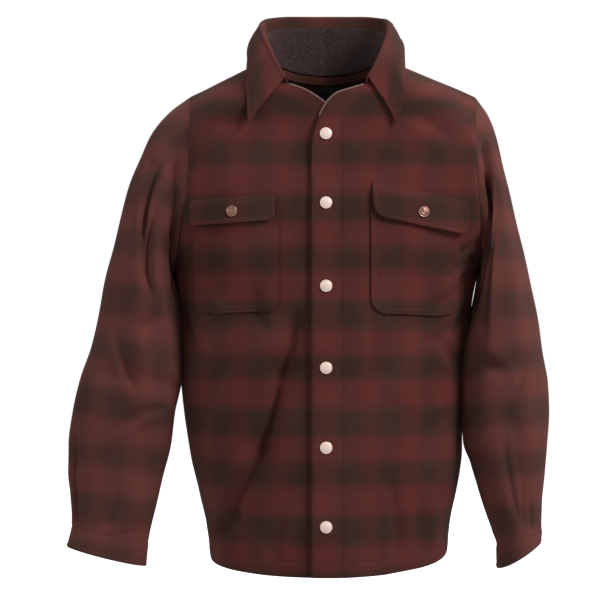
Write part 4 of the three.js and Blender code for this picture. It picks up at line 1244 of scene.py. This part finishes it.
def laidCloth(name, nodeName, panel, sign, x, z, height, wall, slotName, finish, inside=False):
    base, normal, coord = pointsOn(panel, sign * x, z, inside)
    # Outside, the cloth bridges the small dips of what it lies on.
    if not inside:
        base[..., 1] = softened(base[..., 1])
    grid = base + normal * height[..., None]
    if (sign > 0) == inside:
        grid, coord, base = grid[:, ::-1], coord[:, ::-1], base[:, ::-1]
    return clothWall(name, nodeName, slotName, grid, coord, wall, cutSize(base), finish)


def softened(values, times=3):
    for _ in range(times):
        padded = np.pad(values, 1, mode="reflect", reflect_type="odd")
        values = (padded[:-2, 1:-1] + padded[2:, 1:-1] + padded[1:-1, :-2] + padded[1:-1, 2:]
                  + 4 * padded[1:-1, 1:-1]) / 8
    return values


fronts = {"left": leftFront, "right": rightFront}


def placketPiece():
    rows = placesAlong(laidSizes["placketLength"], 3.2)
    z = mixed(body["hemFrontZ"] + 1.2, laidSizes["placketTopZ"], rows)
    upper = {key: lappingEdge[key][:6] for key in ("x", "z")}
    edge = np.where(z > body["centreAtUnderarmZ"], readTable(upper, "z", "x", z), lappingEdge["x"][0])
    stitched = [laidSizes["placketStitch"], laidSizes["placketFarStitch"]]
    share = placesAlong(laidSizes["placketWidth"], 2.4, stitched)
    far = lappingEdge["x"][0] + laidSizes["placketWidth"]
    x = mixed(edge[:, None] + 0.8, far, share[None, :])
    zGrid = z[:, None] + 0 * x
    near = x - edge[:, None]
    height = laidSizes["gap"] + laidSizes["placketWall"] + edgeRelief(near, laidSizes["placketStitch"]) \
        + edgeRelief(far - x, "seam") * 0.5 + 0.12 * unevenness(zGrid, x, 51, 60) \
        + laidSizes["placketEdgeLift"] * np.exp(-((near / laidSizes["placketEdgeReach"]) ** 2))
    return laidCloth("placketStrip", "placket", rightFront, 1, x, zGrid, height,
                     laidSizes["placketWall"], "plaid_wool", plaid)


placketStrip = placketPiece()
pocketCloths, flapCloths = {}, {}
for name in ("left", "right"):
    sign = sides[name]["sign"]
    x, z, lift, columns = patchPlaces(pockets[name], laidSizes["pitch"], laidSizes["pocketStitches"])
    width, tall = pockets[name]["width"], pockets[name]["height"]
    inward = np.minimum(np.minimum(columns, 1 - columns)[None, :] * width, lift)
    middle = eased(0, 30, inward) * eased(0, 0.25, lift / tall)
    nearLine, farLine = laidSizes["pocketStitches"]
    farNick = 0.45 * np.exp(-(((inward - farLine) / edgeShape["nickReach"]) ** 2))
    height = laidSizes["pocketGap"] + laidSizes["pocketWall"] + edgeRelief(inward, nearLine) \
        - farNick + 0.8 * middle * unevenness(x, z, 61 + sign, 60)
    pocketCloths[name] = laidCloth(f"{name}Pocket", f"pocket_{name}", fronts[name], sign, x, z,
                                   height, laidSizes["pocketWall"], "plaid_wool", plaid)

    shape = flaps[name]
    x, z, lift, columns = patchPlaces(shape, laidSizes["pitch"], [laidSizes["flapStitch"]])
    over = laidSizes["pocketGap"] + laidSizes["pocketWall"] + laidSizes["gap"]
    droop = 1 - lift / shape["height"]
    inward = np.minimum(np.minimum(columns, 1 - columns)[None, :] * shape["width"], lift)
    height = mixed(laidSizes["gap"], over, eased(0, 0.3, droop)) + laidSizes["flapLift"] * droop ** 2 \
        + laidSizes["flapWall"] + edgeRelief(inward, laidSizes["flapStitch"]) \
        + 0.5 * droop * unevenness(x, z, 71 + sign, 55)
    flapCloths[name] = laidCloth(f"{name}Flap", f"flap_{name}", fronts[name], sign, x, z, height,
                                 laidSizes["flapWall"], "plaid_wool", plaid)

x, z, lift, columns = patchPlaces(label, 1.6, [])
laidCloth("bareLabel", "neck_label", backCloth, 1, x, z, laidSizes["gap"] + label["wall"] + 0 * x,
          label["wall"], "label_cloth", labelBlack, inside=True)
print("laid pieces made")


# Snaps: a domed cap with a rolled rim, turned about y and stood on its cloth like its CAD node.
frontSnap = {
    "turns": 40,
    "profile": [(0, 0), (7.6, 0), (8.15, 0.25), (8.3, 0.8), (8.05, 1.45), (7.5, 1.75), (7.05, 1.62),
                (6.7, 1.72), (5.6, 2.3), (4, 2.75), (2, 2.98), (0, 3.04)],
}
pocketSnap = {
    "turns": 40,
    "profile": [(0, 0), (7.1, 0), (7.7, 0.3), (7.85, 0.9), (7.5, 1.6), (6.9, 1.85), (6.3, 1.6), (5.6, 1.5),
                (4.6, 1.95), (3.6, 2.4), (3.1, 2.3), (2.6, 2.1), (1.7, 2.35), (0.8, 2.6), (0, 2.66)],
}


def snapPiece(name, nodeName, look, finish):
    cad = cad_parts[nodeName].data
    spots = np.array([v.co for v in cad.vertices], float) / metre
    # The node's flat base: the widest ring of its points lies in one plane.
    normals = np.array([p.normal for p in cad.polygons], float)
    areas = np.array([p.area for p in cad.polygons], float)
    kinds, which = np.unique(np.round(normals, 3), axis=0, return_inverse=True)
    base = -unit(kinds[np.argmax(np.bincount(which.ravel(), weights=areas))])
    low = (spots @ base).min()
    foot = spots[(spots @ base) < low + 0.05].mean(0)
    foot = foot + base * (low - foot @ base)
    side = unit(np.cross(base, np.array([0.0, 0, 1])))
    up = np.cross(side, base)
    count = look["turns"]
    angle = np.arange(count) / count * 2 * math.pi
    around = np.cos(angle)[:, None] * side + np.sin(angle)[:, None] * up
    rings, faces = [], []
    inner = look["profile"][1:-1]
    for radius, lift in inner:
        rings.append(foot + around * radius + base * lift)
    points = np.concatenate(rings + [foot[None], (foot + base * look["profile"][-1][1])[None]])
    first, last = len(inner) * count, len(inner) * count + 1
    k = np.arange(count)
    k2 = (k + 1) % count
    for row in range(len(inner) - 1):
        a, b = row * count, (row + 1) * count
        faces += np.stack([a + k2, a + k, b + k, b + k2], 1).tolist()
    faces += np.stack([k, k2, np.full(count, first)], 1).tolist()
    top = (len(inner) - 1) * count
    faces += np.stack([top + k2, top + k, np.full(count, last)], 1).tolist()
    obj = meshObject(name, points, faces)
    obj.data.materials.append(finish)
    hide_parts(nodeName)
    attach(obj, "root")


for i in range(1, 7):
    snapPiece(f"frontSnapCap{i}", f"snap_front_{i}", frontSnap, palePearl)
for name in ("left", "right"):
    snapPiece(f"{name}PocketSnapCap", f"snap_pocket_{name}", pocketSnap, dullCopper)
    snapPiece(f"{name}CuffSnapCap", f"snap_cuff_{name}", pocketSnap, dullCopper)
print("snaps made")


# The turned neck edge: a narrow soft rib along each front's edge, from the opening to the collar, pale as a
# painted highlight along the fold.
neckHighlightRib = {
    "radius": 1.5,
    "sides": 10,
    "from": {"left": 0.5, "right": 0.56},
    "to": 0.795,
    "steps": 70,
}


def tubeObject(name, path, radius, count, finish):
    tangent = unit(np.gradient(path, axis=0))
    side = unit(np.cross(tangent, np.array([0.0, 1, 0])))
    up = np.cross(side, tangent)
    angle = np.arange(count) / count * 2 * math.pi
    size = radius * np.minimum(1, 0.35 + np.minimum(np.arange(len(path)), np.arange(len(path))[::-1]) / 3)
    rings = path[:, None] + size[:, None, None] * (np.cos(angle)[None, :, None] * side[:, None]
                                                   + np.sin(angle)[None, :, None] * up[:, None])
    faces = []
    k = np.arange(count)
    k2 = (k + 1) % count
    for row in range(len(path) - 1):
        a, b = row * count, (row + 1) * count
        faces += np.stack([a + k, a + k2, b + k2, b + k], 1).tolist()
    faces.append(k[::-1].tolist())
    faces.append((k + (len(path) - 1) * count).tolist())
    obj = meshObject(name, rings.reshape(-1, 3), faces)
    obj.data.materials.append(finish)
    return obj


for name, panel in fronts.items():
    column = 0 if name == "right" else -1
    wanted = 1 + np.linspace(neckHighlightRib["from"][name], neckHighlightRib["to"], neckHighlightRib["steps"])
    middleLine = (panel["outer"][:, column] + panel["inner"][:, column]) / 2
    path = np.stack([np.interp(wanted, levels, middleLine[:, axis]) for axis in range(3)], -1)
    rib = tubeObject(f"{name}NeckHighlightRib", path, neckHighlightRib["radius"], neckHighlightRib["sides"], paintedHighlightEdge)
    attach(rib, "root")
print("neck edges made")


# Stitches, by Geometry Nodes along paths on the cloth
stitch = {
    "pitch": 0.0031,
    "length": 0.0023,
    "width": 0.0005,
    "height": 0.00034,
}


def stitchTree(material):
    tree = bpy.data.node_groups.new("stitchesAlongPaths", "GeometryNodeTree")
    face = tree.interface
    face.new_socket("Paths", in_out="INPUT", socket_type="NodeSocketGeometry")
    for title in ("Pitch", "Length", "Width", "Height"):
        face.new_socket(title, in_out="INPUT", socket_type="NodeSocketFloat")
    face.new_socket("Seed", in_out="INPUT", socket_type="NodeSocketInt")
    face.new_socket("Stitches", in_out="OUTPUT", socket_type="NodeSocketGeometry")
    given = tree.nodes.new("NodeGroupInput")

    def take(title):
        return Sock(given.outputs[title], tree)
    curve = node(tree, "GeometryNodeMeshToCurve", {}, take("Paths"))
    spaced = tree.nodes.new("GeometryNodeResampleCurve")
    spaced.mode = "LENGTH"
    tree.links.new(curve.link, spaced.inputs["Curve"])
    tree.links.new(take("Pitch").link, spaced.inputs["Length"])
    tangent = node(tree, "GeometryNodeInputTangent")
    raised = tree.nodes.new("GeometryNodeInputNamedAttribute")
    raised.data_type = "FLOAT_VECTOR"
    raised.inputs["Name"].default_value = "raised"
    first = node(tree, "FunctionNodeAlignRotationToVector", {"axis": "X"}, Vector=tangent)
    second = node(tree, "FunctionNodeAlignRotationToVector", {"axis": "Z", "pivot_axis": "X"},
                  Rotation=first, Vector=Sock(raised.outputs[0], tree))
    lump = tree.nodes.new("GeometryNodeMeshIcoSphere")
    lump.inputs["Radius"].default_value = 0.5
    lump.inputs["Subdivisions"].default_value = 1
    size = node(tree, "ShaderNodeCombineXYZ", {}, take("Length"), take("Width"), take("Height"))
    random = tree.nodes.new("FunctionNodeRandomValue")
    random.data_type = "FLOAT"
    random.inputs[2].default_value = 0.86
    random.inputs[3].default_value = 1.12
    tree.links.new(take("Seed").link, random.inputs["Seed"])
    factor = Sock(random.outputs[1], tree)
    varied = node(tree, "ShaderNodeVectorMath", {"operation": "SCALE"}, size, Scale=factor)
    laid = tree.nodes.new("GeometryNodeInstanceOnPoints")
    tree.links.new(spaced.outputs[0], laid.inputs["Points"])
    tree.links.new(lump.outputs[0], laid.inputs["Instance"])
    tree.links.new(second.link, laid.inputs["Rotation"])
    tree.links.new(varied.link, laid.inputs["Scale"])
    real = node(tree, "GeometryNodeRealizeInstances", {}, Sock(laid.outputs[0], tree))
    finished = tree.nodes.new("GeometryNodeSetMaterial")
    finished.inputs["Material"].default_value = material
    tree.links.new(real.link, finished.inputs["Geometry"])
    out = tree.nodes.new("NodeGroupOutput")
    tree.links.new(finished.outputs[0], out.inputs[0])
    return tree


# Turns the modifier's result into a plain mesh on a new object.
def realised(source, name):
    graph = bpy.context.evaluated_depsgraph_get()
    mesh = bpy.data.meshes.new_from_object(source.evaluated_get(graph))
    made = bpy.data.objects.new(name, mesh)
    bpy.context.scene.collection.objects.link(made)
    bpy.data.objects.remove(source)
    mesh.polygons.foreach_set("use_smooth", np.ones(len(mesh.polygons), bool))
    return made


threadLift = 0.15  # millimetres of a stitch's middle above the cloth


# A line a set distance in from one border of a piece's grid, lifted off the cloth.
def offsetLine(cloth, wrap, border, distance, trim=(0, 0)):
    grid = cloth["outer"]
    closed = np.concatenate([grid, grid[:, :1]], 1) if wrap else grid
    if border in ("low", "high"):
        arc = arcAlong(closed, 0)
        places = np.arange(closed.shape[0])
        which = range(closed.shape[1])
        at = [np.interp(distance if border == "low" else arc[-1, j] - distance, arc[:, j], places)
              for j in which]
        rows, columns = np.array(at), np.array(list(which), float)
    else:
        arc = arcAlong(closed, 1)
        places = np.arange(closed.shape[1])
        which = range(closed.shape[0])
        at = [np.interp(distance if border == "left" else arc[i, -1] - distance, arc[i], places)
              for i in which]
        rows, columns = np.array(list(which), float), np.array(at)
    normals = cloth["normals"]
    normals = np.concatenate([normals, normals[:, :1]], 1) if wrap else normals
    up = unit(np.array([gridAt(normals, r, c) for r, c in zip(rows, columns)]))
    line = np.array([gridAt(closed, r, c) for r, c in zip(rows, columns)]) + up * threadLift
    run = arcAlong(line[None], 1)[0]
    keep = (run >= trim[0]) & (run <= run[-1] - trim[1])
    return line[keep], up[keep]


# The outline of a pocket or flap, a set distance in from its edge, open along its top.
def patchLine(cloth, shape, sign, distance, topGap):
    width = shape["width"] / 2 - distance
    bend = max(2.0, shape["corner"] - distance)
    down = [(-width, shape["height"] - topGap), (-width, distance + bend)]
    for angle in np.linspace(0, math.pi / 2, 9):
        down.append((-width + bend - bend * math.cos(angle), distance + bend - bend * math.sin(angle)))
    up = [(-px, pz) for px, pz in down[::-1]]
    spots = np.array(down + up)
    run = arcAlong(spots[None], 1)[0]
    fine = np.linspace(0, run[-1], int(run[-1] / 3))
    across = np.interp(fine, run, spots[:, 0])
    lift = np.interp(fine, run, spots[:, 1])
    x = shape["x"] + across
    z = shape["top"] - shape["height"] + lift - shape["tilt"] * across
    point, normal, _ = pointsOn(cloth, (sign * x)[None], z[None])
    return point[0] + normal[0] * threadLift, normal[0]


lines = []
for name in ("left", "right"):
    sign = sides[name]["sign"]
    lines.append(offsetLine(fronts[name], False, "low", body["hemStitch"], (3, 3)))
    lines.append(offsetLine(cuffCloths[name], True, "low", sleeveSizes["cuffStitch"]))
    lines.append(offsetLine(cuffCloths[name], True, "high", 5))
    for distance in laidSizes["pocketStitches"]:
        lines.append(patchLine(pocketCloths[name], pockets[name], sign, distance, 14))
    lines.append(patchLine(flapCloths[name], flaps[name], sign, laidSizes["flapStitch"], 1.5))
    lines.append(offsetLine(flapCloths[name], False, "high", 2.5, (2, 2)))
lines.append(offsetLine(leftFront, False, "right", body["edgeStitch"], (4, 60)))
lines.append(offsetLine(backCloth, False, "low", body["hemStitch"], (3, 3)))
lines.append(offsetLine(placketStrip, False, "left", laidSizes["placketStitch"], (2, 2)))
lines.append(offsetLine(placketStrip, False, "right", 6.5, (2, 2)))
lines.append(offsetLine(collarCloth, False, "high", collarSizes["stitch"], (6, 6)))
for border in ("left", "right"):
    lines.append(offsetLine(collarCloth, False, border, collarSizes["stitch"], (34, 6)))


def pathsObject(name, lines):
    points = np.concatenate([line for line, _ in lines])
    raised = np.concatenate([up for _, up in lines])
    edges, start = [], 0
    for line, _ in lines:
        k = np.arange(len(line) - 1) + start
        edges.append(np.stack([k, k + 1], 1))
        start += len(line)
    edges = np.concatenate(edges)
    mesh = bpy.data.meshes.new(name)
    mesh.vertices.add(len(points))
    mesh.vertices.foreach_set("co", (points * metre).astype(np.float32).ravel())
    mesh.edges.add(len(edges))
    mesh.edges.foreach_set("vertices", edges.astype(np.int32).ravel())
    field = mesh.attributes.new("raised", "FLOAT_VECTOR", "POINT")
    field.data.foreach_set("vector", raised.astype(np.float32).ravel())
    obj = bpy.data.objects.new(name, mesh)
    bpy.context.scene.collection.objects.link(obj)
    return obj


stitchPaths = pathsObject("stitchPaths", lines)
modifier = stitchPaths.modifiers.new("stitches", "NODES")
modifier.node_group = stitchTree(thread)
sizes = {"Pitch": stitch["pitch"], "Length": stitch["length"], "Width": stitch["width"],
         "Height": stitch["height"], "Seed": 4}
for item in modifier.node_group.interface.items_tree:
    if item.in_out == "INPUT" and item.name in sizes:
        modifier[item.identifier] = sizes[item.name]
topstitching = realised(stitchPaths, "topstitching")
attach(topstitching, "root")
print("stitches made:", len(topstitching.data.polygons), "faces")


# What each cloth piece stands for: its CAD node is hidden, the piece attached to the root, and its cut
# printed
for obj, nodeName, slotName, (flatSize, area) in cuts.values():
    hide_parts(nodeName)
    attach(obj, "root")
    rests = [] if nodeName in ("back", "front_left", "front_right") else ["back"]
    print("sheet", obj.name, flatSize, area)

# Floor and backdrop: a wide pale bowl, so that every side has the same plain ground
studio = {
    "floorZ": -0.80,
    "flatRadius": 6.0,
    "curveRadius": 3.0,
    "wallTop": 6.0,
    "turns": 96,
    "curveSteps": 12,
    "pale": colour(240, 240, 240),
    "glow": 0.72,
    "room": 0.38,
    "aimBelowMiddle": 0.3,
}


def backdrop():
    rings = [(0.02, studio["floorZ"]), (studio["flatRadius"], studio["floorZ"])]
    for step in range(1, studio["curveSteps"] + 1):
        angle = step / studio["curveSteps"] * math.pi / 2
        radius = studio["flatRadius"] + studio["curveRadius"] * math.sin(angle)
        rings.append((radius, studio["floorZ"] + studio["curveRadius"] * (1 - math.cos(angle))))
    rings.append((studio["flatRadius"] + studio["curveRadius"], studio["wallTop"]))
    count = studio["turns"]
    angle = np.arange(count) / count * 2 * math.pi
    points = [np.stack([r * np.cos(angle), r * np.sin(angle), np.full(count, z)], -1) for r, z in rings]
    faces = []
    k = np.arange(count)
    k2 = (k + 1) % count
    for row in range(len(rings) - 1):
        a, b = row * count, (row + 1) * count
        faces += np.stack([a + k, b + k, b + k2, a + k2], 1).tolist()
    faces.append(k.tolist())
    obj = meshObject("paleFloor", np.concatenate(points) / metre, faces)
    material, _, _ = newMaterial("paleGround", {
        "Roughness": 0.9,
        "Specular IOR Level": 0.1,
        "Base Color": studio["pale"],
        "Emission Color": studio["pale"],
        "Emission Strength": studio["glow"],
    })
    obj.data.materials.append(material)
    # The bright ground is only seen: it throws no light back on the cloth.
    obj.visible_diffuse = False
    obj.visible_glossy = False


backdrop()

lightRig = [
    {"name": "key", "at": (2.6, -2.0, 1.9), "size": 1.3, "power": 125, "tint": (1.0, 0.97, 0.94)},
    {"name": "fill", "at": (-2.8, -1.4, 0.6), "size": 2.0, "power": 27, "tint": (0.96, 0.98, 1.0)},
    {"name": "top", "at": (0.5, 1.4, 2.4), "size": 1.6, "power": 24, "tint": (1.0, 1.0, 1.0)},
    {"name": "rightRim", "at": (2.4, 0.9, 0.4), "size": 1.0, "power": 12, "tint": (1.0, 0.98, 0.97)},
]


def areaLight(row):
    data = bpy.data.lights.new(row["name"], "AREA")
    data.size = row["size"]
    data.energy = row["power"]
    data.color = row["tint"]
    light = bpy.data.objects.new(row["name"], data)
    bpy.context.scene.collection.objects.link(light)
    light.location = row["at"]
    aim = light.location.copy()
    aim.z += studio["aimBelowMiddle"]
    light.rotation_mode = "QUATERNION"
    light.rotation_quaternion = aim.to_track_quat("Z", "Y")


for row in lightRig:
    areaLight(row)

world = bpy.data.worlds.new("softRoom")
world.use_nodes = True
world.node_tree.nodes["Background"].inputs["Color"].default_value = (1, 1, 1, 1)
world.node_tree.nodes["Background"].inputs["Strength"].default_value = studio["room"]
bpy.context.scene.world = world
bpy.context.scene.view_settings.view_transform = "Standard"

camera = {"at": (-0.032, -3.2, -0.322), "widthAtMiddle": 0.8484, "sensor": 36.0}
cameraData = bpy.data.cameras.new("photoAngle")
cameraData.sensor_width = camera["sensor"]
cameraData.lens = camera["sensor"] * -camera["at"][1] / camera["widthAtMiddle"]
cameraData.dof.use_dof = False
cameraObject = bpy.data.objects.new("photoAngle", cameraData)
bpy.context.scene.collection.objects.link(cameraObject)
cameraObject.location = camera["at"]
cameraObject.rotation_euler = (math.pi / 2, 0, 0)
bpy.context.scene.camera = cameraObject

print("scene ready")
